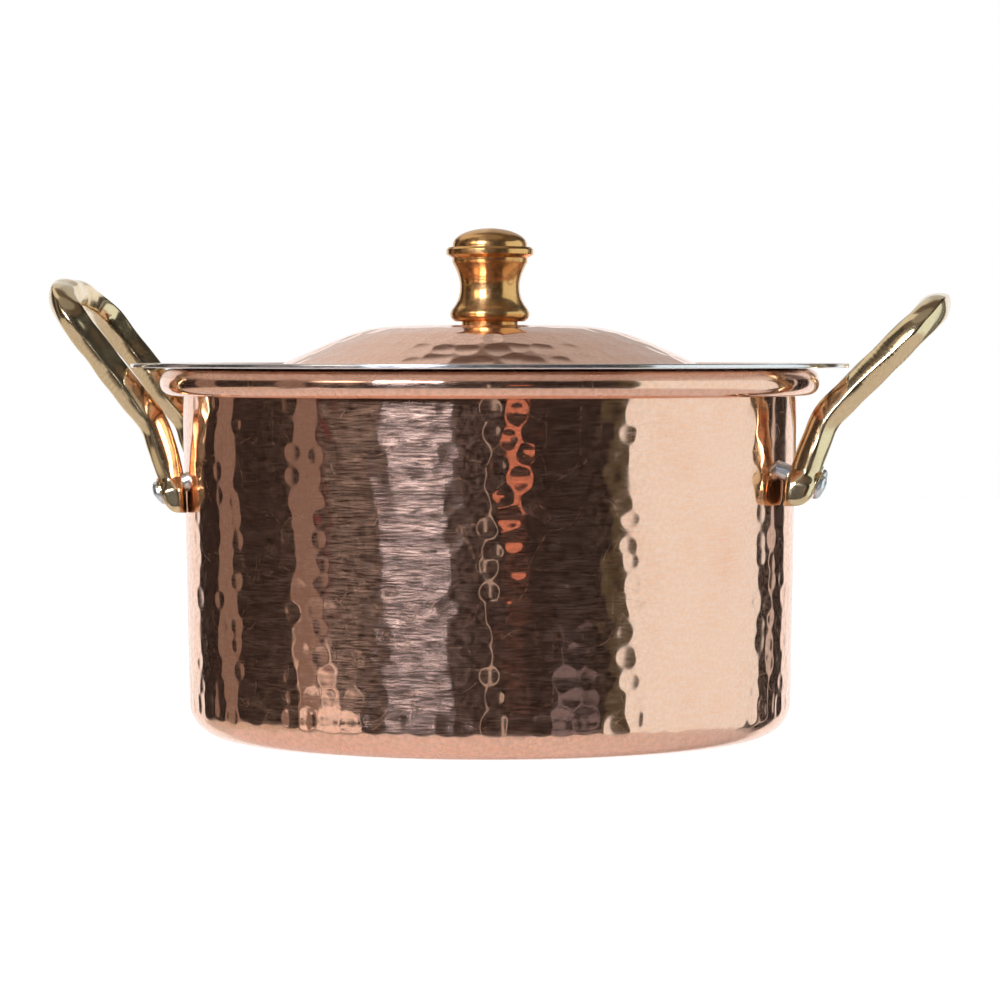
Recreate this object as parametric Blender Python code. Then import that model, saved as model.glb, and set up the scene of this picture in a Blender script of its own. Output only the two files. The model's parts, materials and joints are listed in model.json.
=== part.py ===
"""Hammered copper casserole with two brass loop handles and a lift-off lid.

Units are metres and degrees, +Z is up. The origin is the centre of the pot's
flat base, the two handles lie along +X and -X, and -Y is the front.
"""
import math

import bmesh
import bpy
from mathutils import Matrix, Vector

MM = 0.001

# Clearance kept between pieces that touch
FIT_GAP = 0.3 * MM

# Pot body, rolled from one copper sheet. The wall widens by its flare up to the rim.
BODY_RADIUS = 100.0 * MM
WALL_FLARE = 2.2 * MM
BODY_SHEET = 1.2 * MM
BASE_CORNER_RADIUS = 11.0 * MM
BODY_HEIGHT = 121.1 * MM
BEAD_REACH = 7.4 * MM
BEAD_HEIGHT = 8.9 * MM
BEAD_FILLET = 3.7 * MM
BEAD_SHOULDER_FILLET = 3.0 * MM
BEAD_SLIT = 0.8 * MM
LINING_SHEET = 0.6 * MM
LINING_TOP_SETBACK = 3.8 * MM

# Lid, a copper cover lying in a steel lining with a raised edge
LID_RADIUS = 119.2 * MM
LID_SHEET = 0.6 * MM
LID_LINING_SHEET = 0.6 * MM
LID_EDGE_WIDTH = 1.5 * MM
DOME_HEIGHT = 12.6 * MM
DOME_FOOT_RADIUS = 68.5 * MM
DOME_FOOT_SLOPE = 24.0
DOME_CROWN_PULL = 45.0 * MM
DOME_FOOT_PULL = 32.0 * MM
LID_STEP_DEPTH = 5.0 * MM
LID_STEP_CLEARANCE = 1.6 * MM
LID_STEP_FILLET = 1.8 * MM
LID_VALLEY_FILLET = 7.0 * MM

# Knob, a turned brass piece held by a screw from below
KNOB_HEIGHT = 31.9 * MM
KNOB_CAP_RADIUS = 12.4 * MM
KNOB_CAP_HEIGHT = 5.6 * MM
KNOB_COLLAR_RADIUS = 14.5 * MM
KNOB_COLLAR_HEIGHT = 3.6 * MM
KNOB_THROAT_RADIUS = 12.5 * MM
KNOB_THROAT_HEIGHT = 1.4 * MM
KNOB_WAIST_RADIUS = 9.9 * MM
KNOB_BULGE_RADIUS = 13.2 * MM
KNOB_BULGE_HEIGHT = 4.2 * MM
KNOB_UPPER_COVE_POWER = 1.7
KNOB_LOWER_COVE_POWER = 2.4
KNOB_FOOT_RADIUS = 9.4 * MM
KNOB_FOOT_HEIGHT = 0.9 * MM
SCREW_RADIUS = 2.5 * MM
SCREW_DEPTH = 14.0 * MM
SCREW_HEAD_RADIUS = 4.8 * MM
SCREW_HEAD_HEIGHT = 2.6 * MM
KNOB_WASHER_RADIUS = 7.5 * MM
KNOB_WASHER_THICKNESS = 1.0 * MM

# Handles, cast brass loops whose two feet are riveted to the wall
HANDLE_HALF_SPREAD = 31.0 * MM
HANDLE_BAR_THICKNESS = 9.8 * MM
HANDLE_BAR_WIDTH = 11.0 * MM
HANDLE_FOOT_WIDTH = 15.0 * MM
HANDLE_LOWER_LENGTH = 30.0 * MM
HANDLE_KNEE_FILLET = 20.0 * MM
HANDLE_ARCH_HEIGHT = 14.0 * MM
HANDLE_ARCH_FULLNESS = 2.4
HANDLE_PAD_HEIGHT = 7.0 * MM
HANDLE_PAD_FADE = 5.0 * MM
HANDLE_TOE_ROUNDING = 4.0 * MM

# The handles were bent and fitted by hand, so each has its own place and bend.
# A toe's drop is measured down from the pot's rim.
LEFT_TOE_DROP = 47.1 * MM
LEFT_FOOT_STANDOFF = 1.8 * MM
LEFT_FOOT_FACE = 0.3 * MM
LEFT_FOOT_THICKNESS = 8.2 * MM
LEFT_UPPER_LENGTH = 55.5 * MM
LEFT_LEAN = 17.5
LEFT_KNEE_BEND = 20.5
RIGHT_TOE_DROP = 44.1 * MM
RIGHT_FOOT_STANDOFF = 4.9 * MM
RIGHT_FOOT_FACE = 1.5 * MM
RIGHT_FOOT_THICKNESS = 9.6 * MM
RIGHT_UPPER_LENGTH = 51.0 * MM
RIGHT_LEAN = 19.5
RIGHT_KNEE_BEND = 25.5

# Rivets, driven in from below, and the brass washers under their outer heads
RIVET_TILT = 24.0
RIVET_RADIUS = 2.8 * MM
RIVET_ABOVE_TOE = 8.8 * MM
RIVET_HEAD_RADIUS = 4.1 * MM
RIVET_HEAD_HEIGHT = 2.6 * MM
RIVET_HEAD_RIM = 0.7 * MM
RIVET_INNER_HEAD_RADIUS = 5.4 * MM
RIVET_INNER_HEAD_HEIGHT = 1.9 * MM
SHANK_IN_HEAD = 0.35
RIVET_WASHER_RADIUS = 4.9 * MM
RIVET_WASHER_THICKNESS = 1.0 * MM
RIVET_SEAT_DEPTH = 1.2 * MM

# Facet counts
ROUND_STEPS = 48
KNOB_STEPS = 28
SMALL_STEPS = 14
BAR_SIDES = 12
DOME_STEPS = 7

SMOOTH_ANGLE = math.radians(40)

HANDLE_TOE_HEIGHT = {"left": BODY_HEIGHT - LEFT_TOE_DROP, "right": BODY_HEIGHT - RIGHT_TOE_DROP}
HANDLE_FOOT_STANDOFF = {"left": LEFT_FOOT_STANDOFF, "right": RIGHT_FOOT_STANDOFF}
HANDLE_FOOT_FACE = {"left": LEFT_FOOT_FACE, "right": RIGHT_FOOT_FACE}
HANDLE_FOOT_THICKNESS = {"left": LEFT_FOOT_THICKNESS, "right": RIGHT_FOOT_THICKNESS}
HANDLE_UPPER_LENGTH = {"left": LEFT_UPPER_LENGTH, "right": RIGHT_UPPER_LENGTH}
HANDLE_LEAN = {"left": LEFT_LEAN, "right": RIGHT_LEAN}
HANDLE_KNEE_BEND = {"left": LEFT_KNEE_BEND, "right": RIGHT_KNEE_BEND}

# Each metal as (colour, roughness)
COPPER = ((0.90, 0.52, 0.37), 0.12)
STEEL = ((0.72, 0.72, 0.73), 0.25)
CAST_BRASS = ((0.80, 0.68, 0.42), 0.20)
TURNED_BRASS = ((0.78, 0.55, 0.20), 0.15)
RIVET_METAL = ((0.75, 0.75, 0.76), 0.30)


def remove_old_objects():
    for old in list(bpy.data.objects):
        bpy.data.objects.remove(old, do_unlink=True)


def make_material(name, metal):
    colour, roughness = metal
    material = bpy.data.materials.new(name)
    material.use_nodes = True
    shader = material.node_tree.nodes["Principled BSDF"]
    shader.inputs["Base Color"].default_value = (*colour, 1.0)
    shader.inputs["Roughness"].default_value = roughness
    shader.inputs["Metallic"].default_value = 1.0
    material.diffuse_color = (*colour, 1.0)
    return material


def finish_object(name, mesh_builder, metal):
    """Turn a bmesh into a named, smooth-shaded object; a cutter has no metal."""
    bmesh.ops.recalc_face_normals(mesh_builder, faces=mesh_builder.faces)
    mesh = bpy.data.meshes.new(name)
    mesh_builder.to_mesh(mesh)
    mesh_builder.free()
    mesh.shade_smooth()
    mesh.set_sharp_from_angle(angle=SMOOTH_ANGLE)
    part = bpy.data.objects.new(name, mesh)
    bpy.context.scene.collection.objects.link(part)
    if metal is not None:
        mesh.materials.append(make_material(name, metal))
    return part


def make_guide(part):
    part.hide_render = True
    part.display_type = "WIRE"
    part.hide_set(True)
    return part


def add_boolean(part, cutter, operation):
    modifier = part.modifiers.new(operation.lower(), "BOOLEAN")
    modifier.operation = operation
    modifier.solver = "EXACT"
    modifier.object = cutter


# Outline helpers. An outline is a list of (radius, height) points.

def rounded_path(corners, steps=3):
    """Join corner points with straight runs and fillets.

    Each corner is (x, y, fillet radius); the ends keep their points.
    """
    points = [Vector(corners[0][:2])]
    for before, corner, after in zip(corners, corners[1:], corners[2:]):
        here = Vector(corner[:2])
        back = (Vector(before[:2]) - here).normalized()
        ahead = (Vector(after[:2]) - here).normalized()
        opening = back.angle(ahead)
        if corner[2] <= 0.0 or math.pi - opening < 1e-4:
            points.append(here)
            continue
        reach = corner[2] / math.tan(opening / 2)
        centre = here + (back + ahead).normalized() * (corner[2] / math.sin(opening / 2))
        start = here + back * reach - centre
        end = here + ahead * reach - centre
        sweep = start.angle_signed(end)
        for step in range(steps + 1):
            turned = start.copy()
            turned.rotate(Matrix.Rotation(-sweep * step / steps, 2))
            points.append(centre + turned)
    points.append(Vector(corners[-1][:2]))
    return points


def offset_path(points, distance):
    """Move a path sideways, to its left where distance is positive."""
    moved = []
    last = len(points) - 1
    for index, point in enumerate(points):
        ahead = (points[min(index + 1, last)] - points[max(index - 1, 0)]).normalized()
        if 0 < index < last:
            first = (point - points[index - 1]).normalized()
            second = (points[index + 1] - point).normalized()
            ahead = (first + second).normalized()
            stretch = 1.0 / max(ahead.dot(first), 0.5)
        else:
            stretch = 1.0
        left = Vector((-ahead.y, ahead.x))
        moved.append(point + left * distance * stretch)
    return moved


def sheet_outline(points, thickness):
    """The closed outline of a sheet whose middle line is the path."""
    one_side = offset_path(points, thickness / 2)
    other_side = offset_path(points, -thickness / 2)
    return one_side + other_side[::-1]


def turned_mesh(outline, steps):
    """Spin an outline of (radius, height) points about the Z axis."""
    builder = bmesh.new()
    on_axis = [abs(point[0]) < 1e-7 for point in outline]
    corners = [builder.verts.new((point[0], 0.0, point[1])) for point in outline]
    edges = []
    for index, corner in enumerate(corners):
        following = (index + 1) % len(corners)
        if not (on_axis[index] and on_axis[following]):
            edges.append(builder.edges.new((corner, corners[following])))
    bmesh.ops.spin(
        builder,
        geom=corners + edges,
        cent=(0, 0, 0),
        axis=(0, 0, 1),
        angle=math.tau,
        steps=steps,
        use_merge=True,
        use_duplicate=False,
    )
    bmesh.ops.remove_doubles(builder, verts=builder.verts, dist=1e-7)
    return builder


def turned_object(name, outline, steps, metal):
    return finish_object(name, turned_mesh(outline, steps), metal)


def bezier_points(first, pull_first, pull_last, last, steps):
    points = []
    for step in range(steps + 1):
        t = step / steps
        u = 1.0 - t
        points.append(first * u**3 + pull_first * 3 * u * u * t + pull_last * 3 * u * t * t + last * t**3)
    return points


# Pot body

def wall_radius(height):
    """Outer radius of the flared wall at a height."""
    return BODY_RADIUS + WALL_FLARE * height / BODY_HEIGHT


def body_path():
    """Middle line of the copper sheet, from the axis out, up and round the bead."""
    half = BODY_SHEET / 2
    top = BODY_HEIGHT - half
    rim = wall_radius(BODY_HEIGHT)
    nose = rim + BEAD_REACH - half
    bead_bottom = BODY_HEIGHT - BEAD_HEIGHT + half
    corners = [
        (0.0, half, 0.0),
        (wall_radius(half) - half, half, BASE_CORNER_RADIUS - half),
        (rim - half, top, BEAD_SHOULDER_FILLET),
        (nose, top, BEAD_FILLET),
        (nose, bead_bottom, BEAD_FILLET),
        (rim + BEAD_SLIT, bead_bottom, 0.0),
    ]
    return rounded_path(corners)


def lining_path():
    """Middle line of the steel lining, one clearance inside the copper."""
    inset = BODY_SHEET + FIT_GAP + LINING_SHEET / 2
    top = BODY_HEIGHT - LINING_TOP_SETBACK
    corners = [
        (0.0, inset, 0.0),
        (wall_radius(inset) - inset, inset, max(BASE_CORNER_RADIUS - inset, LINING_SHEET)),
        (wall_radius(top) - inset, top, 0.0),
    ]
    return rounded_path(corners)


def wall_thickness():
    """The copper, the lining and the clearance between them."""
    return BODY_SHEET + FIT_GAP + LINING_SHEET


# Lid

def lid_underside():
    """Height of the brim's lower face, which rests on the pot's rolled rim."""
    return BODY_HEIGHT + FIT_GAP


def brim_top():
    return lid_underside() + LID_LINING_SHEET + FIT_GAP + LID_SHEET


def lid_path(depth):
    """Middle line of a lid sheet lying depth below the lid's upper skin."""
    crown = brim_top() + DOME_HEIGHT
    slope = math.radians(DOME_FOOT_SLOPE)
    foot = Vector((DOME_FOOT_RADIUS, brim_top()))
    dome = bezier_points(
        Vector((0.0, crown)),
        Vector((DOME_CROWN_PULL, crown)),
        foot + Vector((-math.cos(slope), math.sin(slope))) * DOME_FOOT_PULL,
        foot,
        DOME_STEPS,
    )
    thickness = brim_top() - lid_underside()
    floor = brim_top() - LID_STEP_DEPTH
    step_radius = wall_radius(floor) - wall_thickness() - LID_STEP_CLEARANCE - thickness
    valley = DOME_FOOT_RADIUS + LID_STEP_DEPTH / math.tan(slope)
    corners = [(point.x, point.y, 0.0) for point in dome]
    corners += [
        (valley, floor, LID_VALLEY_FILLET),
        (step_radius, floor, LID_STEP_FILLET),
        (step_radius, brim_top(), LID_STEP_FILLET),
        (LID_RADIUS - LID_EDGE_WIDTH, brim_top(), 0.0),
    ]
    skin = rounded_path(corners, steps=2)
    return offset_path(skin, -depth)


def with_centre_hole(points, hole_radius):
    """Start a path at the edge of the hole for the knob's screw."""
    kept = [point for point in points if point.x > hole_radius + 1e-6]
    return [Vector((hole_radius, points[0].y))] + kept


def cover_outline():
    path = with_centre_hole(lid_path(LID_SHEET / 2), SCREW_RADIUS + FIT_GAP)
    path[-1].x = LID_RADIUS - LID_EDGE_WIDTH - FIT_GAP
    return sheet_outline(path, LID_SHEET)


def lid_lining_outline():
    """The steel sheet, with its edge raised round the copper cover."""
    depth = LID_SHEET + FIT_GAP + LID_LINING_SHEET / 2
    path = with_centre_hole(lid_path(depth), SCREW_RADIUS + FIT_GAP)
    path[-1].x = LID_RADIUS - LID_EDGE_WIDTH
    upper = offset_path(path, LID_LINING_SHEET / 2)
    lower = offset_path(path, -LID_LINING_SHEET / 2)
    round_off = (brim_top() - lid_underside()) / 3
    edge = rounded_path(
        [
            (LID_RADIUS - LID_EDGE_WIDTH, upper[-1].y, 0.0),
            (LID_RADIUS - LID_EDGE_WIDTH, brim_top(), 0.0),
            (LID_RADIUS, brim_top(), round_off),
            (LID_RADIUS, lid_underside(), round_off),
            (LID_RADIUS - LID_EDGE_WIDTH, lid_underside(), 0.0),
        ],
        steps=2,
    )
    return upper[:-1] + edge + lower[:-1][::-1]


def crown_height():
    return brim_top() + DOME_HEIGHT


def knob_outline():
    """Turned outline, from the cap down the outside, then up the screw hole."""
    seat = crown_height() + FIT_GAP
    top = seat + KNOB_HEIGHT
    collar_top = top - KNOB_CAP_HEIGHT - 0.2 * KNOB_COLLAR_HEIGHT
    collar_bottom = collar_top - KNOB_COLLAR_HEIGHT
    bulge_bottom = seat + KNOB_FOOT_HEIGHT
    bulge_top = bulge_bottom + KNOB_BULGE_HEIGHT
    waist_height = (collar_bottom - KNOB_THROAT_HEIGHT + bulge_top) / 2
    points = []
    cap_steps = 6
    for step in range(cap_steps + 1):
        angle = math.pi / 2 * step / cap_steps
        radius = KNOB_CAP_RADIUS * math.sin(angle)
        points.append((radius, top - KNOB_CAP_HEIGHT * (1.0 - math.cos(angle))))
    chamfer = 0.22 * KNOB_COLLAR_HEIGHT
    points += [
        (KNOB_CAP_RADIUS, collar_top),
        (KNOB_COLLAR_RADIUS - chamfer, collar_top),
        (KNOB_COLLAR_RADIUS, collar_top - chamfer),
        (KNOB_COLLAR_RADIUS, collar_bottom + 1.5 * chamfer),
        (KNOB_THROAT_RADIUS, collar_bottom),
    ]
    cove_steps = 8
    cove_top = collar_bottom - KNOB_THROAT_HEIGHT
    for step in range(cove_steps):
        t = step / cove_steps
        height = cove_top + (bulge_top - cove_top) * t
        above = height > waist_height
        end_radius = KNOB_THROAT_RADIUS if above else KNOB_BULGE_RADIUS
        power = KNOB_UPPER_COVE_POWER if above else KNOB_LOWER_COVE_POWER
        swell = (end_radius - KNOB_WAIST_RADIUS) * abs(2 * t - 1) ** power
        points.append((KNOB_WAIST_RADIUS + swell, height))
    points += [
        (KNOB_BULGE_RADIUS - 0.1 * KNOB_BULGE_HEIGHT, bulge_top - 0.1 * KNOB_BULGE_HEIGHT),
        (KNOB_BULGE_RADIUS, bulge_top - 0.4 * KNOB_BULGE_HEIGHT),
        (KNOB_BULGE_RADIUS, bulge_bottom + 0.2 * KNOB_BULGE_HEIGHT),
        (KNOB_BULGE_RADIUS - 0.15 * KNOB_BULGE_HEIGHT, bulge_bottom),
        (KNOB_FOOT_RADIUS, bulge_bottom),
        (KNOB_FOOT_RADIUS, seat),
        (SCREW_RADIUS + FIT_GAP, seat),
        (SCREW_RADIUS + FIT_GAP, seat + SCREW_DEPTH + FIT_GAP),
        (0.0, seat + SCREW_DEPTH + FIT_GAP),
    ]
    return points


def lid_inner_crown():
    """Height of the lining's lower face at the middle of the lid."""
    return crown_height() - LID_SHEET - FIT_GAP - LID_LINING_SHEET


def knob_washer_outline():
    top = lid_inner_crown() - FIT_GAP
    bottom = top - KNOB_WASHER_THICKNESS
    hole = SCREW_RADIUS + FIT_GAP
    return [(hole, top), (KNOB_WASHER_RADIUS, top), (KNOB_WASHER_RADIUS, bottom), (hole, bottom)]


def knob_screw_outline():
    head_top = lid_inner_crown() - FIT_GAP - KNOB_WASHER_THICKNESS - FIT_GAP
    tip = crown_height() + FIT_GAP + SCREW_DEPTH
    head_bottom = head_top - SCREW_HEAD_HEIGHT
    chamfer = SCREW_RADIUS / 4
    return [
        (0.0, tip),
        (SCREW_RADIUS - chamfer, tip),
        (SCREW_RADIUS, tip - chamfer),
        (SCREW_RADIUS, head_top),
        (SCREW_HEAD_RADIUS, head_top),
        (SCREW_HEAD_RADIUS, head_top - SCREW_HEAD_HEIGHT / 2),
        (SCREW_HEAD_RADIUS * 0.7, head_bottom),
        (0.0, head_bottom),
    ]


# Handles

def side_sign(side):
    return 1.0 if side == "right" else -1.0


def wall_at_toe(side):
    """Distance from the axis to the wall at a toe, along the handle's middle plane."""
    return math.sqrt(wall_radius(HANDLE_TOE_HEIGHT[side]) ** 2 - HANDLE_HALF_SPREAD**2)


def handle_side_profile(side):
    """Middle of the bar seen from the side, as (distance from the axis, height) points."""
    lean = math.radians(HANDLE_LEAN[side])
    upper = lean + math.radians(HANDLE_KNEE_BEND[side])
    toe = Vector((wall_at_toe(side) + HANDLE_FOOT_STANDOFF[side], HANDLE_TOE_HEIGHT[side]))
    knee = toe + Vector((math.sin(lean), math.cos(lean))) * HANDLE_LOWER_LENGTH
    crest = knee + Vector((math.sin(upper), math.cos(upper))) * HANDLE_UPPER_LENGTH[side]
    return rounded_path([(*toe, 0.0), (*knee, HANDLE_KNEE_FILLET), (*crest, 0.0)], steps=6)


def point_along(points, distance):
    """The point and direction at a distance along a path."""
    for first, second in zip(points, points[1:]):
        length = (second - first).length
        ahead = (second - first) / length
        if distance <= length:
            return first + ahead * distance, ahead
        distance -= length
    return second + ahead * distance, ahead


def handle_places(side):
    """Half the bar's run as (distance from the toe, sideways place), toe to crest."""
    profile = handle_side_profile(side)
    total = sum((b - a).length for a, b in zip(profile, profile[1:]))
    arch_start = total - HANDLE_ARCH_HEIGHT
    pad_end = HANDLE_PAD_HEIGHT + HANDLE_PAD_FADE
    rounding = [HANDLE_TOE_ROUNDING * share for share in (0.0, 0.15, 0.5, 1.0)]
    fade = [HANDLE_PAD_HEIGHT + HANDLE_PAD_FADE * step / 3 for step in range(4)]
    run = [pad_end + (arch_start - pad_end) * step / 7 for step in range(1, 7)]
    places = [(distance, -HANDLE_HALF_SPREAD) for distance in rounding + fade + run]
    arch_steps = 8
    power = 2 / HANDLE_ARCH_FULLNESS
    for step in range(arch_steps):
        angle = math.pi / 2 * step / arch_steps
        rise = HANDLE_ARCH_HEIGHT * math.sin(angle) ** power
        across = HANDLE_HALF_SPREAD * math.cos(angle) ** power
        places.append((arch_start + rise, -across))
    places.append((total, 0.0))
    return places


def handle_stations(side):
    """Places on the bar as (middle, outward normal, distance from the nearer toe)."""
    profile = handle_side_profile(side)
    pad_end = HANDLE_PAD_HEIGHT + HANDLE_PAD_FADE
    half = handle_places(side)
    mirrored = [(distance, -across) for distance, across in reversed(half[:-1])]
    stations = []
    for distance, across in half + mirrored:
        point, ahead = point_along(profile, distance)
        lean = math.atan2(ahead.x, ahead.y) * min(distance / pad_end, 1.0)
        normal = Vector((math.cos(lean), 0.0, -math.sin(lean)))
        stations.append((Vector((point.x, across, point.y)), normal, distance))
    return stations


def smooth_step(value):
    value = min(max(value, 0.0), 1.0)
    return value * value * (3 - 2 * value)


def bar_section(side, distance):
    """Outer, inner and sideways half sizes of the bar, and its squareness."""
    swell = smooth_step(distance / HANDLE_LOWER_LENGTH)
    half = (HANDLE_FOOT_THICKNESS[side] * (1 - swell) + HANDLE_BAR_THICKNESS * swell) / 2
    bar = smooth_step((distance - HANDLE_PAD_HEIGHT) / HANDLE_PAD_FADE)
    drift = distance * math.sin(math.radians(HANDLE_LEAN[side]))
    pad_reach = HANDLE_FOOT_STANDOFF[side] - HANDLE_FOOT_FACE[side] + drift
    inner = pad_reach * (1 - bar) + half * bar
    sideways = (HANDLE_FOOT_WIDTH * (1 - bar) + HANDLE_BAR_WIDTH * bar) / 2
    squareness = 3.2 * (1 - bar) + 2.0 * bar
    remaining = 1 - min(distance / HANDLE_TOE_ROUNDING, 1.0)
    fullness = math.sqrt(1 - remaining**2)
    outer = half * (0.3 + 0.7 * fullness)
    sideways *= 0.6 + 0.4 * fullness
    return outer, inner, sideways, squareness


def bar_ring(side, middle, normal, tangent, distance):
    outer, inner, sideways, squareness = bar_section(side, distance)
    across = tangent.cross(normal).normalized()
    ring = []
    for corner in range(BAR_SIDES):
        angle = math.tau * corner / BAR_SIDES
        out = math.cos(angle)
        along = math.sin(angle)
        depth = math.copysign(abs(out) ** (2 / squareness), out)
        spread = math.copysign(abs(along) ** (2 / squareness), along)
        depth *= outer if out > 0 else inner
        ring.append(middle + normal * depth + across * spread * sideways)
    return ring


def build_handle(side):
    """Loft the bar from one toe over the arch to the other toe."""
    stations = handle_stations(side)
    last = len(stations) - 1
    builder = bmesh.new()
    rings = []
    for index, (middle, normal, distance) in enumerate(stations):
        ahead = stations[min(index + 1, last)][0] - stations[max(index - 1, 0)][0]
        tangent = (ahead - normal * ahead.dot(normal)).normalized()
        ring = bar_ring(side, middle, normal, tangent, distance)
        rings.append([builder.verts.new(point) for point in ring])
    for first, second in zip(rings, rings[1:]):
        for corner in range(BAR_SIDES):
            following = (corner + 1) % BAR_SIDES
            builder.faces.new((first[corner], first[following], second[following], second[corner]))
    builder.faces.new(rings[0])
    builder.faces.new(rings[-1])
    bmesh.ops.scale(builder, vec=(side_sign(side), 1, 1), verts=builder.verts)
    return finish_object(f"handle_{side}", builder, CAST_BRASS)


# Rivets

def rivet_axis(side, end):
    """Where a rivet crosses the middle of the bar, and its outward direction."""
    profile = handle_side_profile(side)
    point, _ = point_along(profile, RIVET_ABOVE_TOE)
    tilt = math.radians(RIVET_TILT)
    sign = side_sign(side)
    across = -HANDLE_HALF_SPREAD if end == "front" else HANDLE_HALF_SPREAD
    middle = Vector((sign * point.x, across, point.y))
    return middle, Vector((sign * math.cos(tilt), 0.0, -math.sin(tilt)))


def turned_along(name, outline, middle, direction, metal):
    """A turned piece whose axis runs through middle along direction."""
    builder = turned_mesh(outline, SMALL_STEPS)
    turn = Vector((0, 0, 1)).rotation_difference(direction).to_matrix().to_4x4()
    bmesh.ops.transform(builder, matrix=Matrix.Translation(middle) @ turn, verts=builder.verts)
    return finish_object(name, builder, metal)


def rivet_seat(side):
    """Distance from the bar's middle to the flat seat cut for the washer."""
    return HANDLE_FOOT_THICKNESS[side] / 2 - RIVET_SEAT_DEPTH


def rivet_reach():
    """Distance from the bar's middle to a point safely inside the pot."""
    drift = RIVET_ABOVE_TOE * math.sin(math.radians(max(HANDLE_LEAN.values())))
    standoff = max(HANDLE_FOOT_STANDOFF.values())
    depth = standoff + drift + wall_thickness()
    return depth / math.cos(math.radians(RIVET_TILT)) + 2 * RIVET_HEAD_RADIUS


def hole_cutter(side, end):
    """A stepped cutter for the rivet's hole and its washer's seat."""
    middle, outward = rivet_axis(side, end)
    seat_radius = RIVET_WASHER_RADIUS + FIT_GAP
    hole_radius = RIVET_RADIUS + FIT_GAP
    seat = rivet_seat(side)
    far = seat + HANDLE_FOOT_THICKNESS[side]
    outline = [
        (0.0, far),
        (seat_radius, far),
        (seat_radius, seat),
        (hole_radius, seat),
        (hole_radius, -rivet_reach()),
        (0.0, -rivet_reach()),
    ]
    name = f"hole_cutter_{side}_{end}"
    return make_guide(turned_along(name, outline, middle, outward, None))


def column(name, inset):
    """A cutter as tall as the pot, whose side runs inset inside the wall's outer face."""
    top = wall_radius(BODY_HEIGHT) - inset
    bottom = BODY_RADIUS - inset
    outline = [(0.0, BODY_HEIGHT), (top, BODY_HEIGHT), (bottom, 0.0), (0.0, 0.0)]
    return make_guide(turned_object(name, outline, ROUND_STEPS, None))


def inner_head_blank(side, end, pot_space):
    """A low dome on the lining where the rivet comes through, cut to the lining's curve."""
    middle, outward = rivet_axis(side, end)
    radius = wall_radius(middle.z) - wall_thickness() - FIT_GAP
    run = math.hypot(outward.x, outward.y)
    before = (middle.x * outward.x + middle.y * outward.y) / run**2
    spare = (middle.x**2 + middle.y**2 - radius**2) / run**2
    landing = middle - outward * (before - math.sqrt(before**2 - spare))
    radial = Vector((landing.x, landing.y, 0.0)).normalized()
    rise = RIVET_INNER_HEAD_HEIGHT
    ball = (RIVET_INNER_HEAD_RADIUS**2 + rise**2) / (2 * rise)
    half_angle = math.asin(RIVET_INNER_HEAD_RADIUS / ball) * 1.2
    dome_steps = 5
    outline = []
    for step in range(dome_steps + 1):
        angle = half_angle * step / dome_steps
        outline.append((ball * math.sin(angle), ball * math.cos(angle)))
    outline.append((0.0, outline[-1][1]))
    name = f"inner_head_{side}_{end}"
    centre = landing + radial * (ball - rise)
    head = make_guide(turned_along(name, outline, centre, -radial, None))
    add_boolean(head, pot_space, "INTERSECT")
    return head


def build_rivet(side, end, pot_space, shank_trim):
    """Outer head and shank in one, joined to the head that was closed inside the pot."""
    middle, outward = rivet_axis(side, end)
    head_base = rivet_seat(side) + FIT_GAP + RIVET_WASHER_THICKNESS + FIT_GAP
    dome = RIVET_HEAD_HEIGHT - RIVET_HEAD_RIM
    head_steps = 4
    outline = []
    for step in range(head_steps + 1):
        angle = math.pi / 2 * step / head_steps
        height = head_base + RIVET_HEAD_RIM + dome * math.cos(angle)
        outline.append((RIVET_HEAD_RADIUS * math.sin(angle), height))
    outline += [
        (RIVET_HEAD_RADIUS, head_base),
        (RIVET_RADIUS, head_base),
        (RIVET_RADIUS, -rivet_reach()),
        (0.0, -rivet_reach()),
    ]
    rivet = turned_along(f"rivet_{side}_{end}", outline, middle, outward, RIVET_METAL)
    add_boolean(rivet, shank_trim, "DIFFERENCE")
    add_boolean(rivet, inner_head_blank(side, end, pot_space), "UNION")


def build_rivet_washer(side, end):
    middle, outward = rivet_axis(side, end)
    bottom = rivet_seat(side) + FIT_GAP
    top = bottom + RIVET_WASHER_THICKNESS
    hole = RIVET_RADIUS + FIT_GAP
    outline = [(hole, top), (RIVET_WASHER_RADIUS, top), (RIVET_WASHER_RADIUS, bottom), (hole, bottom)]
    turned_along(f"rivet_washer_{side}_{end}", outline, middle, outward, CAST_BRASS)


def build_pot():
    """The copper body and its steel lining."""
    body = turned_object("pot_body", sheet_outline(body_path(), BODY_SHEET), ROUND_STEPS, COPPER)
    lining_sheet = sheet_outline(lining_path(), LINING_SHEET)
    lining = turned_object("pot_lining", lining_sheet, ROUND_STEPS, STEEL)
    return body, lining


def build_lid():
    """The lid's two sheets, and the knob with its screw and washer."""
    turned_object("lid_cover", cover_outline(), ROUND_STEPS, COPPER)
    turned_object("lid_lining", lid_lining_outline(), ROUND_STEPS, STEEL)
    turned_object("lid_knob", knob_outline(), KNOB_STEPS, TURNED_BRASS)
    turned_object("knob_washer", knob_washer_outline(), KNOB_STEPS, RIVET_METAL)
    turned_object("knob_screw", knob_screw_outline(), SMALL_STEPS, RIVET_METAL)


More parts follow.
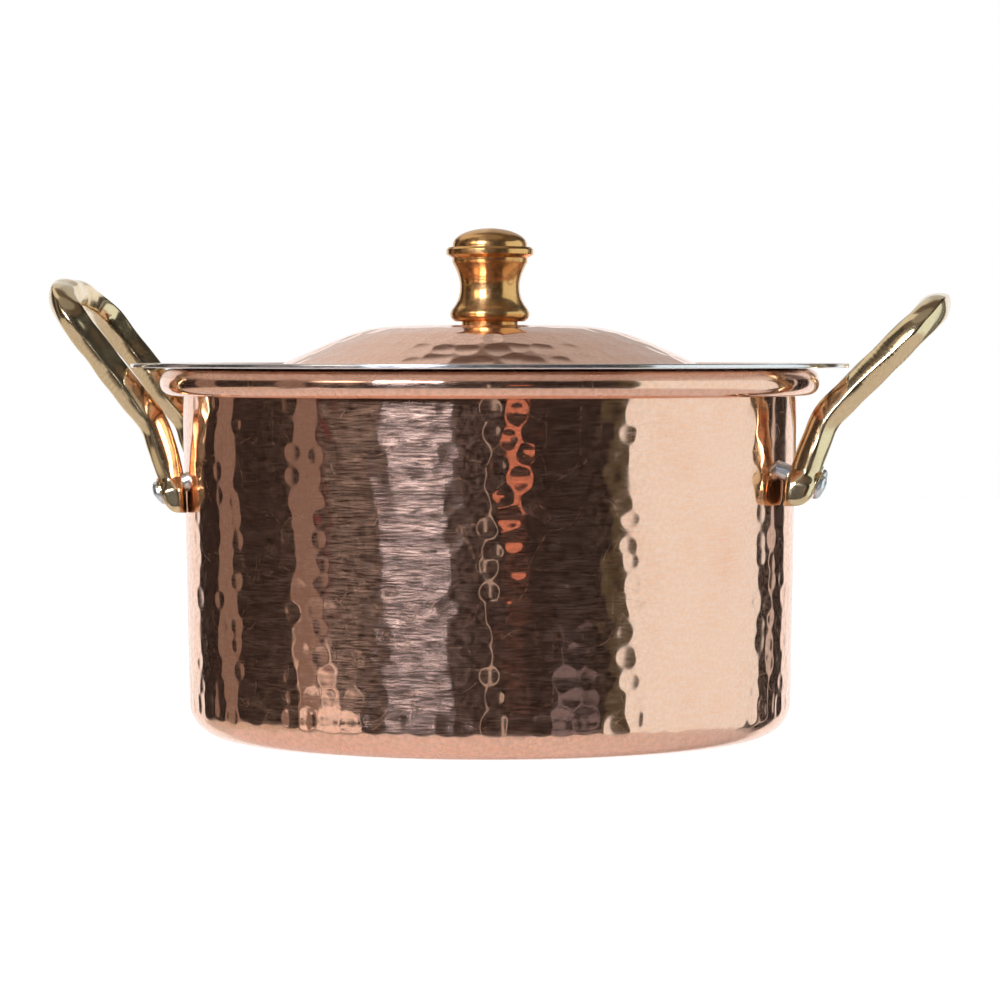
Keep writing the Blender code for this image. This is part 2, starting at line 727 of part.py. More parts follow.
def main():
    remove_old_objects()
    body, lining = build_pot()
    build_lid()
    wall_face = column("wall_face_cutter", -FIT_GAP)
    pot_space = column("pot_space_guide", wall_thickness() + FIT_GAP)
    trim_depth = wall_thickness() + FIT_GAP + RIVET_INNER_HEAD_HEIGHT * SHANK_IN_HEAD
    shank_trim = column("shank_trim_cutter", trim_depth)
    for side in ("left", "right"):
        handle = build_handle(side)
        add_boolean(handle, wall_face, "DIFFERENCE")
        for end in ("front", "back"):
            cutter = hole_cutter(side, end)
            for pierced in (handle, body, lining):
                add_boolean(pierced, cutter, "DIFFERENCE")
            build_rivet(side, end, pot_space, shank_trim)
            build_rivet_washer(side, end)


main()
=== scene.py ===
"""Looks for a hammered copper casserole with a steel lining and brass fittings.

Units are metres and degrees, +Z is up and -Y is the front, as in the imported
model. Every solid of the model is replaced by a finer piece of the same shape.
"""
import json
import math

import bpy
import numpy as np
from mathutils import Matrix, Vector, noise

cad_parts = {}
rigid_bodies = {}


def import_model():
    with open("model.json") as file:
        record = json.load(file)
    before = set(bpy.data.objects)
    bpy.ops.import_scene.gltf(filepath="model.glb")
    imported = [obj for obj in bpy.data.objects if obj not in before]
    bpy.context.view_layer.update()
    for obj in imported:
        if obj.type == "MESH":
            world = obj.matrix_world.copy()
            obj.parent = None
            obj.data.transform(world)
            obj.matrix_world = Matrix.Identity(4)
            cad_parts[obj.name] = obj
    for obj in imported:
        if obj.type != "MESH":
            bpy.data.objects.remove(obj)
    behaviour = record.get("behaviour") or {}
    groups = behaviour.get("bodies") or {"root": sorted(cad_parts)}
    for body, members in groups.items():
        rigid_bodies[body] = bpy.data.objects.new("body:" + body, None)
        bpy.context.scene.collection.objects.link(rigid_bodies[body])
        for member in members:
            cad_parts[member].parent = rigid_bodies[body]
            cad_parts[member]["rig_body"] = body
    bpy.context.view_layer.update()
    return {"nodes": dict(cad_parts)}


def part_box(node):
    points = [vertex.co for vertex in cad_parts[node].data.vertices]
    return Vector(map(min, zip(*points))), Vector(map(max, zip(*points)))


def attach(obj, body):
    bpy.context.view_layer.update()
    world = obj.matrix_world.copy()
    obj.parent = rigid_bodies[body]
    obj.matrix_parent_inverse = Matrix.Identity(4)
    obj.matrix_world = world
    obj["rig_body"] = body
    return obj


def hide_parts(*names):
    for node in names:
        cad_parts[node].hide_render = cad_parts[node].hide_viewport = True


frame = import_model()

MM = 0.001
WHITE = (1.0, 1.0, 1.0, 1.0)

# Lengths and turns below these count as none
NO_LENGTH = 0.01 * MM
NO_TURN = 1e-4

# Clearance kept between pieces that touch
FIT_GAP = 0.3 * MM

# Pot body, rolled from one copper sheet. The wall widens by its flare up to the rim.
WALL_FLARE = 2.2 * MM
BEAD_REACH = 7.4 * MM
BEAD_HEIGHT = 8.9 * MM
BEAD_FILLET = 3.7 * MM
BEAD_SHOULDER_FILLET = 3.0 * MM
BEAD_SLIT = 0.8 * MM
BODY_SHEET = 1.2 * MM
BODY_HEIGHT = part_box("pot_body")[1].z
BODY_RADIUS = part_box("pot_body")[1].y - BEAD_REACH - WALL_FLARE
BASE_CORNER_RADIUS = 11.0 * MM
LINING_SHEET = 0.6 * MM
LINING_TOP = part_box("pot_lining")[1].z
WALL_THICKNESS = BODY_SHEET + FIT_GAP + LINING_SHEET

# Lid, a copper cover lying in a steel lining with a raised edge
LID_SHEET = 0.6 * MM
LID_LINING_SHEET = 0.6 * MM
LID_EDGE_WIDTH = 1.5 * MM
LID_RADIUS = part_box("lid_lining")[1].y
LID_UNDERSIDE = BODY_HEIGHT + FIT_GAP
BRIM_TOP = LID_UNDERSIDE + LID_LINING_SHEET + FIT_GAP + LID_SHEET
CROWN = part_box("lid_cover")[1].z
DOME_FOOT_RADIUS = 68.5 * MM
DOME_FOOT_SLOPE = 24.0
DOME_CROWN_PULL = 45.0 * MM
DOME_FOOT_PULL = 32.0 * MM
DOME_STEPS = 80
LID_STEP_DEPTH = 5.0 * MM
LID_STEP_CLEARANCE = 1.6 * MM
LID_STEP_FILLET = 1.8 * MM
LID_VALLEY_FILLET = 7.0 * MM

# Knob, its screw and its washer
KNOB_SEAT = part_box("lid_knob")[0].z
KNOB_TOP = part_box("lid_knob")[1].z
KNOB_CAP_RADIUS = 12.4 * MM
KNOB_CAP_HEIGHT = 5.6 * MM
KNOB_CAP_SINK = 0.2
KNOB_CAP_STEPS = 33
KNOB_COLLAR_RADIUS = 14.5 * MM
KNOB_COLLAR_HEIGHT = 3.6 * MM
KNOB_COLLAR_CHAMFER = 0.22
KNOB_THROAT_RADIUS = 12.5 * MM
KNOB_THROAT_HEIGHT = 1.4 * MM
KNOB_WAIST_RADIUS = 9.9 * MM
KNOB_BULGE_RADIUS = 13.2 * MM
KNOB_BULGE_HEIGHT = 4.2 * MM
KNOB_UPPER_COVE_POWER = 1.7
KNOB_LOWER_COVE_POWER = 2.4
KNOB_COVE_STEPS = 49
KNOB_FOOT_RADIUS = 9.4 * MM
KNOB_FOOT_HEIGHT = 0.9 * MM
KNOB_EDGE_FILLET = 0.35 * MM
KNOB_BULGE_ROUNDING = 2.1 * MM
KNOB_BULGE_UPPER_EDGE = 0.3
KNOB_BULGE_LOWER_EDGE = 0.36
KNOB_BULGE_UNDERCUT = 0.38
KNOB_FOOT_SINK = 0.25 * MM
SCREW_RADIUS = 2.5 * MM
SCREW_HEAD_RADIUS = 4.8 * MM
SCREW_HEAD_HEIGHT = 2.6 * MM
SCREW_HEAD_END = 0.7
SCREW_SLOT_WIDTH = 1.2 * MM
SCREW_SLOT_DEPTH = 1.1 * MM
KNOB_WASHER_RADIUS = 7.5 * MM

# Handles, cast brass loops whose two feet are riveted to the wall
HANDLE_HALF_SPREAD = 31.0 * MM
HANDLE_BAR_THICKNESS = 9.8 * MM
HANDLE_BAR_WIDTH = 11.0 * MM
HANDLE_BAR_SQUARENESS = 1.45
HANDLE_FOOT_SQUARENESS = 3.2
HANDLE_FOOT_WIDTH = 15.0 * MM
HANDLE_LOWER_LENGTH = 30.0 * MM
HANDLE_KNEE_FILLET = 20.0 * MM
HANDLE_ARCH_HEIGHT = 14.0 * MM
HANDLE_ARCH_FULLNESS = 2.4
HANDLE_ARCH_STEPS = 48
HANDLE_PAD_HEIGHT = 7.0 * MM
HANDLE_PAD_FADE = 5.0 * MM
HANDLE_TOE_ROUNDING = 4.0 * MM
HANDLE_TOE_THICKNESS = 0.3
HANDLE_TOE_WIDTH = 0.6
HANDLE_TOE_STEPS = 12
HANDLE_TOE_HEIGHT = {"left": BODY_HEIGHT - 47.1 * MM, "right": BODY_HEIGHT - 44.1 * MM}
HANDLE_FOOT_STANDOFF = {"left": 1.8 * MM, "right": 4.9 * MM}
HANDLE_FOOT_FACE = {"left": 0.3 * MM, "right": 1.5 * MM}
HANDLE_FOOT_THICKNESS = {"left": 8.2 * MM, "right": 9.6 * MM}
HANDLE_UPPER_LENGTH = {"left": 55.5 * MM, "right": 51.0 * MM}
HANDLE_LEAN = {"left": 17.5, "right": 19.5}
HANDLE_KNEE_BEND = {"left": 20.5, "right": 25.5}

# Slow noise in the casting: how strong it is, and its scale per metre
HANDLE_TWIST = 0.22
HANDLE_TWIST_SCALE = 48.0
CASTING_UNEVENNESS = 0.55 * MM
CASTING_SCALE = 105.0
CASTING_GRAIN = 0.05
CASTING_GRAIN_SCALE = 330.0

# Fine ribs that a grinder left across the bars
RIB_DEPTH = {"left": 0.03 * MM, "right": 0.09 * MM}
RIB_PITCH = 1.7 * MM
RIB_FADE = 4 * RIB_PITCH
RIB_BREAKS_SCALE = 240.0
RIB_BREAKS_LEVEL = 0.5
RIBS_FROM = 43.0 * MM
RIBS_TO = 66.0 * MM

# Rivets and the brass washers under their outer heads
RIVET_TILT = 24.0
RIVET_RADIUS = 2.8 * MM
RIVET_ABOVE_TOE = 8.8 * MM
RIVET_HEAD_RADIUS = 4.1 * MM
RIVET_HEAD_HEIGHT = 2.6 * MM
RIVET_HEAD_RIM = 0.7 * MM
RIVET_INNER_HEAD_RADIUS = 5.4 * MM
RIVET_INNER_HEAD_HEIGHT = 1.9 * MM
RIVET_WASHER_RADIUS = 4.9 * MM
RIVET_WASHER_THICKNESS = 1.0 * MM
RIVET_SEAT_DEPTH = 1.2 * MM
RIVET_HEAD_DENTS = 0.3 * MM
RIVET_DENT_SCALE = 420.0
RIVET_DENT_LEVEL = 0.35

# Hammering. A blow is a shallow round cap; rows of them overlap.
WALL_BLOW_PITCH = 7.6 * MM
WALL_ROW_PITCH = 7.0 * MM
WALL_BLOW_CURVE = 52.0 * MM
WALL_BLOW_DEPTH = 0.12 * MM
WALL_ROWS_FROM = 11.9 * MM
WALL_FIRST_ROW = 2.3
WALL_ROWS_TO = 108.6 * MM
DOME_BLOW_PITCH = 8.4 * MM
DOME_ROW_PITCH = 7.8 * MM
DOME_BLOW_CURVE = 68.0 * MM
DOME_BLOW_DEPTH = 0.16 * MM
DOME_ROWS_FROM = 17.0 * MM
DOME_ROWS_TO = 66.5 * MM
BLOW_SCATTER = 0.13
BLOW_CURVE_RANGE = (0.75, 1.35)
BLOW_DEPTH_RANGE = (0.85, 1.15)
WALL_SEED = 7
DOME_SEED = 3

# Round the handles' feet the wall was left nearly smooth
SMOOTH_SECTOR = 25.0
SMOOTH_SECTOR_FADE = 3.0
SMOOTH_FROM = 66.0 * MM
SMOOTH_RISE = 7.0 * MM
SMOOTH_SHARE = 0.8

# Mesh fineness
WALL_COLUMNS = 960
WALL_SPACING = 0.7 * MM
ROUND_COLUMNS = 360
KNOB_COLUMNS = 160
SMALL_COLUMNS = 64
FILLET_STEPS = 10
CAP_STEPS = 16
BAR_SIDES = 48
BAR_SPACING = 0.45 * MM
SMOOTH_ANGLE = math.radians(38)

# Camera, at the photograph's viewing angle
CAMERA_TURN = math.radians(5.35)
CAMERA_PITCH = 0.0394
CAMERA_PLACE = (119.9 * MM, -1244.2 * MM, 126.5 * MM)
CAMERA_LENS = 135.0
CAMERA_SENSOR = 36.0

# Light around the pot, as (azimuth from, to, elevation from, to, edge, colour).
# Azimuths are counted to the right from the camera, in degrees. A panel covers those
# that PANELS names before it.
CEILING = (-185.0, 185.0, 47.0, 95.0, 3.0, (0.10, 0.072, 0.058))
OVERHEAD = (-185.0, 185.0, 66.0, 95.0, 3.0, (0.30, 0.285, 0.28))
LOW_LEFT = (-150.0, -80.0, -40.0, -16.0, 2.0, (0.66, 0.61, 0.55))
SOFTBOX = (52.3, 122.0, -30.0, 34.0, 1.0, (0.94, 1.09, 1.17))
BACKDROP_RIGHT = (146.0, 185.0, -30.0, 14.0, 1.5, (1.06, 1.06, 1.06))
BACKDROP_LEFT = (-185.0, -142.5, -30.0, 14.0, 1.5, (1.06, 1.06, 1.06))
UPPER_RIGHT = (157.0, 185.0, 14.0, 47.0, 3.0, (0.54, 0.54, 0.54))
UPPER_LEFT = (-185.0, -157.0, 14.0, 47.0, 3.0, (0.74, 0.74, 0.74))
SIDE_LEFT = (-157.0, -115.0, 30.0, 70.0, 3.0, (0.85, 0.83, 0.80))
DIM_STRIP = (-122.0, -109.0, -25.0, 40.0, 0.5, (0.25, 0.195, 0.172))
DIM_PANEL = (-78.0, -66.0, -25.0, 45.0, 0.8, (0.23, 0.18, 0.165))
RED_THREAD = (-63.6, -62.6, -25.0, -1.0, 0.4, (0.12, 0.015, 0.022))
OLIVE_PANEL = (44.5, 52.0, -25.0, 30.0, 0.8, (0.062, 0.060, 0.034))
SLIT = (-0.7, 0.3, -30.0, -2.0, 0.1, (0.60, 0.60, 0.60))
RIGHT_SLIT = (130.5, 133.0, -30.0, 30.0, 0.3, (0.7, 0.7, 0.7))
KEY_LIGHT = (-40.0, -16.5, 11.0, 38.0, 0.8, (12.6, 13.8, 16.3))
KEY_SPILL = (-62.0, -45.0, 11.0, 34.0, 5.0, (3.6, 3.3, 3.0))
PANELS = (
    CEILING, OVERHEAD, UPPER_RIGHT, UPPER_LEFT, SIDE_LEFT, SOFTBOX, BACKDROP_RIGHT,
    BACKDROP_LEFT, DIM_STRIP, DIM_PANEL, LOW_LEFT, RED_THREAD, OLIVE_PANEL, SLIT,
    RIGHT_SLIT, KEY_SPILL, KEY_LIGHT,
)
STUDIO_DARK = (0.018, 0.015, 0.014)

# Low cards that only the metal sees, as (azimuth from, to, distance, bottom, top, colour)
LOW = -150.0 * MM
CARDS = (
    (4.0, 13.5, 0.8, 25.0 * MM, 84.0 * MM, (0.76, 0.335, 0.24)),
    (-70.0, -45.0, 0.45, LOW, 8.0 * MM, (1.0, 0.94, 0.94)),
    (-66.0, -52.0, 0.45, LOW, -10.0 * MM, (1.0, 0.94, 0.94)),
    (19.0, 35.0, 0.45, LOW, 4.0 * MM, (0.20, 0.20, 0.25)),
)
CARD_PATCH_SCALE = 26.0
CARD_PATCH_RANGE = (0.3, 0.7)
CARD_PATCH_SHIFT = 0.14
CARD_EDGE = (0.06, 0.14)

# Floor
FLOOR_SIZE = 4.0
FLOOR_DROP = 0.2 * MM
PALE_FLOOR_TO = 0.50
PALE_FLOOR_GONE = 0.60
FLOOR_SEEN_FLAT = 0.49
FLOOR_SEEN_STEEP = 0.59
FLOOR_CAMERA_LIFT = 0.85
FLOOR_MIRROR_LIFT = 0.225
WARM_FLOOR_FROM = 0.13
WARM_FLOOR_TO = 0.22
WARM_FLOOR = (0.9, 0.69, 0.61)
FLOOR_PAINT = (0.8, 0.8, 0.8, 1.0)

# Noise in the metals' looks: scales per metre, and the span of each that is used
STAIN_SCALE = 45.0
STAIN_RANGE = (0.5, 0.8)
SMUDGE_SCALE = 90.0
SMUDGE_RANGE = (0.3, 0.7)
SMUDGE_GLOSS = (0.7, 1.4)
STREAK_SCALE = 2000.0
STREAK_STRETCH = (0.09, 0.09, 1.0)
STREAK_RANGE = (0.36, 0.64)
FLECK_SCALE = 620.0
FLECK_RANGE = (0.38, 0.62)

# Long scratches, as (noise scale, width, shift)
HAIRLINES = ((38.0, 0.006, 0.0), (52.0, 0.008, 3.0), (70.0, 0.010, 7.0))
HAIRLINE_BREAKS = 2.3
HAIRLINE_BREAKS_RANGE = (0.50, 0.58)


# Outline helpers. An outline is an array of (radius, height) points that has
# the metal on its left, so that its faces look outwards.

def rounded_path(corners, steps=FILLET_STEPS):
    """Join corner points (x, y, fillet radius) with straight runs and fillets."""
    points = [Vector(corners[0][:2])]
    for before, corner, after in zip(corners, corners[1:], corners[2:]):
        here = Vector(corner[:2])
        back = (Vector(before[:2]) - here).normalized()
        ahead = (Vector(after[:2]) - here).normalized()
        opening = back.angle(ahead)
        if corner[2] <= 0.0 or math.pi - opening < NO_TURN:
            points.append(here)
            continue
        reach = corner[2] / math.tan(opening / 2)
        centre = here + (back + ahead).normalized() * (corner[2] / math.sin(opening / 2))
        start = here + back * reach - centre
        sweep = start.angle_signed(here + ahead * reach - centre)
        for step in range(steps + 1):
            turned = start.copy()
            turned.rotate(Matrix.Rotation(-sweep * step / steps, 2))
            points.append(centre + turned)
    points.append(Vector(corners[-1][:2]))
    return np.array(points)


def filled_in(points, spacing):
    """Add points to a path wherever two of them are further apart than the spacing."""
    rows = [points[:1]]
    for first, second in zip(points, points[1:]):
        parts = max(1, math.ceil(math.dist(first, second) / spacing))
        share = np.arange(1, parts + 1)[:, None] / parts
        rows.append(first + (second - first) * share)
    return np.vstack(rows)


def offset_path(points, distance):
    """Move a path sideways, to its left where distance is positive."""
    runs = np.diff(points, axis=0)
    runs /= np.linalg.norm(runs, axis=1)[:, None]
    before = np.vstack([runs[:1], runs])
    after = np.vstack([runs, runs[-1:]])
    ahead = before + after
    ahead /= np.linalg.norm(ahead, axis=1)[:, None]
    stretch = 1.0 / np.maximum((ahead * before).sum(axis=1), 0.5)
    left = np.stack([-ahead[:, 1], ahead[:, 0]], axis=1)
    return points + left * (distance * stretch)[:, None]


def sheet_outline(points, thickness):
    """The outline of a sheet whose middle line is the path."""
    right = offset_path(points, -thickness / 2)
    left = offset_path(points, thickness / 2)
    return np.vstack([right, left[::-1]])


def arc_lengths(outline):
    steps = np.linalg.norm(np.diff(outline, axis=0), axis=1)
    return np.concatenate([[0.0], np.cumsum(steps)])


def hammer(outline, columns, ring_arcs, pitch, curve, depth, seed, first_ring=1.0):
    """How deep overlapping round blows cut, for each row and column of a spun grid.

    Each ring of blows lies at one arc length of the outline. The blows of the first
    ring are first_ring times as deep, and narrower.
    """
    random = np.random.default_rng(seed)
    arc = arc_lengths(outline)
    field = np.zeros((len(outline), columns))
    for ring, ring_arc in enumerate(ring_arcs):
        force = first_ring if ring == 0 else 1.0
        ring_radius = np.interp(ring_arc, arc, outline[:, 0])
        count = max(3, round(math.tau * ring_radius / pitch))
        phase = random.uniform()
        for number in range(count):
            place = ring_arc + random.normal(0.0, BLOW_SCATTER) * pitch
            turn = (number + phase + random.normal(0.0, BLOW_SCATTER)) / count * columns
            blow_curve = curve * random.uniform(*BLOW_CURVE_RANGE) / math.sqrt(force)
            blow_depth = depth * force * random.uniform(*BLOW_DEPTH_RANGE)
            reach = math.sqrt(2 * blow_curve * blow_depth)
            rows = np.flatnonzero(np.abs(arc - place) < reach)
            wide = math.ceil(reach / ring_radius / math.tau * columns) + 1
            near = np.arange(math.floor(turn) - wide, math.floor(turn) + wide + 2)
            along = (near - turn)[None, :] / columns * math.tau * outline[rows, :1]
            across = (arc[rows] - place)[:, None]
            cap = (along**2 + across**2) / (2 * blow_curve) - blow_depth
            block = np.ix_(rows, near % columns)
            field[block] = np.minimum(field[block], cap)
    for _ in range(2):
        beside = (np.roll(field, 1, axis=1) + np.roll(field, -1, axis=1)) / 2
        over = (np.roll(field, 1, axis=0) + np.roll(field, -1, axis=0)) / 2
        field = (2 * field + beside + over) / 4
    return field


def spun_grid(outline, columns, carved=0.0):
    """Points of an outline spun about the Z axis, moved along their normals by carved."""
    ahead = np.roll(outline, -1, axis=0) - np.roll(outline, 1, axis=0)
    normal = np.stack([ahead[:, 1], -ahead[:, 0]], axis=1)
    normal /= np.linalg.norm(normal, axis=1)[:, None]
    angle = math.tau * np.arange(columns)[None, :] / columns
    radius = outline[:, :1] + carved * normal[:, :1]
    height = outline[:, 1:] + carved * normal[:, 1:]
    radius, height, angle = np.broadcast_arrays(radius, height, angle)
    return np.stack([radius * np.cos(angle), radius * np.sin(angle), height], axis=-1)


def grid_faces(rows, columns, close_rows):
    """Four-cornered faces between the rows of a spun grid."""
    index = np.arange(rows * columns).reshape(rows, columns)
    index = np.hstack([index, index[:, :1]])
    if close_rows:
        index = np.vstack([index, index[:1]])
    corners = [index[:-1, :-1], index[:-1, 1:], index[1:, 1:], index[1:, :-1]]
    return np.stack(corners, axis=-1).reshape(-1, 4).tolist()


def make_piece(name, points, faces):
    mesh = bpy.data.meshes.new(name)
    mesh.from_pydata(np.reshape(points, (-1, 3)), [], faces)
    mesh.validate()
    mesh.shade_smooth()
    piece = bpy.data.objects.new(name, mesh)
    bpy.context.scene.collection.objects.link(piece)
    return piece


def mark_sharp(piece):
    piece.data.set_sharp_from_angle(angle=SMOOTH_ANGLE)


def spun_piece(name, outline, columns, carved=0.0):
    """A closed piece from an outline that is a loop, or that starts and ends on the axis."""
    points = spun_grid(outline, columns, carved)
    if max(outline[0, 0], outline[-1, 0]) < NO_LENGTH:
        # One point stands for each end row, and fans join it to the next row
        middle = points[1:-1].reshape(-1, 3)
        points = np.vstack([middle, points[0, :1], points[-1, :1]])
        faces = grid_faces(len(outline) - 2, columns, close_rows=False)
        first = len(middle)
        last_row = first - columns
        for column in range(columns):
            following = (column + 1) % columns
            faces.append([first, following, column])
            faces.append([first + 1, last_row + column, last_row + following])
    else:
        faces = grid_faces(len(outline), columns, close_rows=True)
    piece = make_piece(name, points, faces)
    mark_sharp(piece)
    return piece


# Pot body and its lining

def wall_radius(height):
    """Outer radius of the flared wall at a height."""
    return BODY_RADIUS + WALL_FLARE * height / BODY_HEIGHT


def body_outline():
    half = BODY_SHEET / 2
    top = BODY_HEIGHT - half
    rim = wall_radius(BODY_HEIGHT)
    nose = rim + BEAD_REACH - half
    bead_bottom = BODY_HEIGHT - BEAD_HEIGHT + half
    path = rounded_path([
        (0.0, half, 0.0),
        (wall_radius(half) - half, half, BASE_CORNER_RADIUS - half),
        (rim - half, top, BEAD_SHOULDER_FILLET),
        (nose, top, BEAD_FILLET),
        (nose, bead_bottom, BEAD_FILLET),
        (rim + BEAD_SLIT, bead_bottom, 0.0),
    ], steps=16)
    return sheet_outline(filled_in(path, WALL_SPACING), BODY_SHEET)


def lining_outline():
    inset = BODY_SHEET + FIT_GAP + LINING_SHEET / 2
    path = rounded_path([
        (0.0, inset, 0.0),
        (wall_radius(inset) - inset, inset, BASE_CORNER_RADIUS - inset),
        (wall_radius(LINING_TOP) - inset, LINING_TOP, 0.0),
    ])
    return sheet_outline(filled_in(path, 4 * WALL_SPACING), LINING_SHEET)


def left_smooth(outline, columns):
    """Share of the hammering that each row and column of the wall keeps."""
    turn = 360.0 * np.arange(columns) / columns
    from_handle = np.abs((turn + 90.0) % 180.0 - 90.0)
    beside = np.clip((SMOOTH_SECTOR - from_handle) / SMOOTH_SECTOR_FADE, 0.0, 1.0)
    above = np.clip((outline[:, 1] - SMOOTH_FROM) / SMOOTH_RISE, 0.0, 1.0)
    return 1.0 - SMOOTH_SHARE * above[:, None] * beside[None, :]


def build_pot():
    outline = body_outline()
    arc = arc_lengths(outline)
    rising = slice(np.argmax(outline[:, 1] > NO_LENGTH), np.argmax(outline[:, 1]))
    rows = round((WALL_ROWS_TO - WALL_ROWS_FROM) / WALL_ROW_PITCH)
    heights = np.linspace(WALL_ROWS_FROM, WALL_ROWS_TO, rows + 1)
    ring_arcs = np.interp(heights, outline[rising, 1], arc[rising])
    blows = (WALL_BLOW_PITCH, WALL_BLOW_CURVE, WALL_BLOW_DEPTH)
    carved = hammer(outline, WALL_COLUMNS, ring_arcs, *blows, WALL_SEED, WALL_FIRST_ROW)
    carved = carved * left_smooth(outline, WALL_COLUMNS)
    body = spun_piece("copper_body", outline, WALL_COLUMNS, carved)
    finish_piece(body, COPPER_LOOK, "pot_body")
    lining = spun_piece("steel_pot_lining", lining_outline(), ROUND_COLUMNS)
    finish_piece(lining, STEEL_LOOK, "pot_lining")


# Lid

def lid_path(depth, spacing):
    """Middle line of a lid sheet lying depth below the lid's upper skin."""
    slope = math.radians(DOME_FOOT_SLOPE)
    foot = np.array([DOME_FOOT_RADIUS, BRIM_TOP])
    pull = foot + np.array([-math.cos(slope), math.sin(slope)]) * DOME_FOOT_PULL
    share = np.linspace(0.0, 1.0, DOME_STEPS)[:, None]
    dome = (
        np.array([0.0, CROWN]) * (1 - share) ** 3
        + np.array([DOME_CROWN_PULL, CROWN]) * 3 * share * (1 - share) ** 2
        + pull * 3 * share**2 * (1 - share)
        + foot * share**3
    )
    floor = BRIM_TOP - LID_STEP_DEPTH
    inside = wall_radius(floor) - WALL_THICKNESS
    step_radius = inside - LID_STEP_CLEARANCE - (BRIM_TOP - LID_UNDERSIDE)
    valley = DOME_FOOT_RADIUS + LID_STEP_DEPTH / math.tan(slope)
    corners = [(*point, 0.0) for point in dome]
    corners += [
        (valley, floor, LID_VALLEY_FILLET),
        (step_radius, floor, LID_STEP_FILLET),
        (step_radius, BRIM_TOP, LID_STEP_FILLET),
        (LID_RADIUS - LID_EDGE_WIDTH, BRIM_TOP, 0.0),
    ]
    path = offset_path(filled_in(rounded_path(corners), spacing), -depth)
    hole = SCREW_RADIUS + FIT_GAP
    path = path[path[:, 0] > hole + NO_LENGTH]
    return np.vstack([[hole, path[0, 1]], path])


def cover_outline():
    path = lid_path(LID_SHEET / 2, WALL_SPACING)
    path[-1, 0] = LID_RADIUS - LID_EDGE_WIDTH - FIT_GAP
    return sheet_outline(path, LID_SHEET)


def lid_lining_outline():
    """The steel sheet, with its edge raised round the copper cover."""
    path = lid_path(LID_SHEET + FIT_GAP + LID_LINING_SHEET / 2, 2 * WALL_SPACING)
    path[-1, 0] = LID_RADIUS - LID_EDGE_WIDTH
    upper = offset_path(path, LID_LINING_SHEET / 2)
    lower = offset_path(path, -LID_LINING_SHEET / 2)
    round_off = (BRIM_TOP - LID_UNDERSIDE) / 3
    edge = rounded_path([
        (LID_RADIUS - LID_EDGE_WIDTH, LID_UNDERSIDE, 0.0),
        (LID_RADIUS, LID_UNDERSIDE, round_off),
        (LID_RADIUS, BRIM_TOP, round_off),
        (LID_RADIUS - LID_EDGE_WIDTH, BRIM_TOP, 0.0),
        (LID_RADIUS - LID_EDGE_WIDTH, upper[-1, 1], 0.0),
    ])
    return np.vstack([lower[:-1], edge, upper[:-1][::-1]])


def knob_outline():
    collar_top = KNOB_TOP - KNOB_CAP_HEIGHT - KNOB_CAP_SINK * KNOB_COLLAR_HEIGHT
    collar_bottom = collar_top - KNOB_COLLAR_HEIGHT
    bulge_bottom = KNOB_SEAT + KNOB_FOOT_HEIGHT
    bulge_top = bulge_bottom + KNOB_BULGE_HEIGHT
    cove_top = collar_bottom - KNOB_THROAT_HEIGHT
    waist_height = (cove_top + bulge_top) / 2
    fillet = KNOB_EDGE_FILLET
    chamfer = KNOB_COLLAR_CHAMFER * KNOB_COLLAR_HEIGHT
    corners = []
    for angle in np.linspace(0.0, math.pi / 2, KNOB_CAP_STEPS):
        height = KNOB_TOP - KNOB_CAP_HEIGHT * (1.0 - math.cos(angle))
        corners.append((KNOB_CAP_RADIUS * math.sin(angle), height, 0.0))
    corners += [
        (KNOB_CAP_RADIUS, collar_top, fillet / 2),
        (KNOB_COLLAR_RADIUS - chamfer, collar_top, fillet / 2),
        (KNOB_COLLAR_RADIUS, collar_top - chamfer, fillet),
        (KNOB_COLLAR_RADIUS, collar_bottom + 1.5 * chamfer, fillet),
        (KNOB_THROAT_RADIUS, collar_bottom, fillet / 2),
    ]
    for share in np.linspace(0.0, 1.0, KNOB_COVE_STEPS):
        height = cove_top + (bulge_top - cove_top) * share
        above = height > waist_height
        end_radius = KNOB_THROAT_RADIUS if above else KNOB_BULGE_RADIUS - 2 * fillet
        power = KNOB_UPPER_COVE_POWER if above else KNOB_LOWER_COVE_POWER
        swell = (end_radius - KNOB_WAIST_RADIUS) * abs(2 * share - 1) ** power
        corners.append((KNOB_WAIST_RADIUS + swell, height, 0.0))
    upper_edge = bulge_top - KNOB_BULGE_UPPER_EDGE * KNOB_BULGE_HEIGHT
    lower_edge = bulge_bottom + KNOB_BULGE_LOWER_EDGE * KNOB_BULGE_HEIGHT
    undercut = KNOB_BULGE_RADIUS - KNOB_BULGE_UNDERCUT * KNOB_BULGE_HEIGHT
    corners += [
        (KNOB_BULGE_RADIUS, upper_edge, 5 * fillet),
        (KNOB_BULGE_RADIUS, lower_edge, KNOB_BULGE_ROUNDING),
        (undercut, bulge_bottom, KNOB_BULGE_ROUNDING / 2),
        (KNOB_FOOT_RADIUS, bulge_bottom, fillet / 2),
        (KNOB_FOOT_RADIUS, KNOB_SEAT - KNOB_FOOT_SINK, 0.0),
        (0.0, KNOB_SEAT - KNOB_FOOT_SINK, 0.0),
    ]
    return rounded_path(corners, steps=6)[::-1]


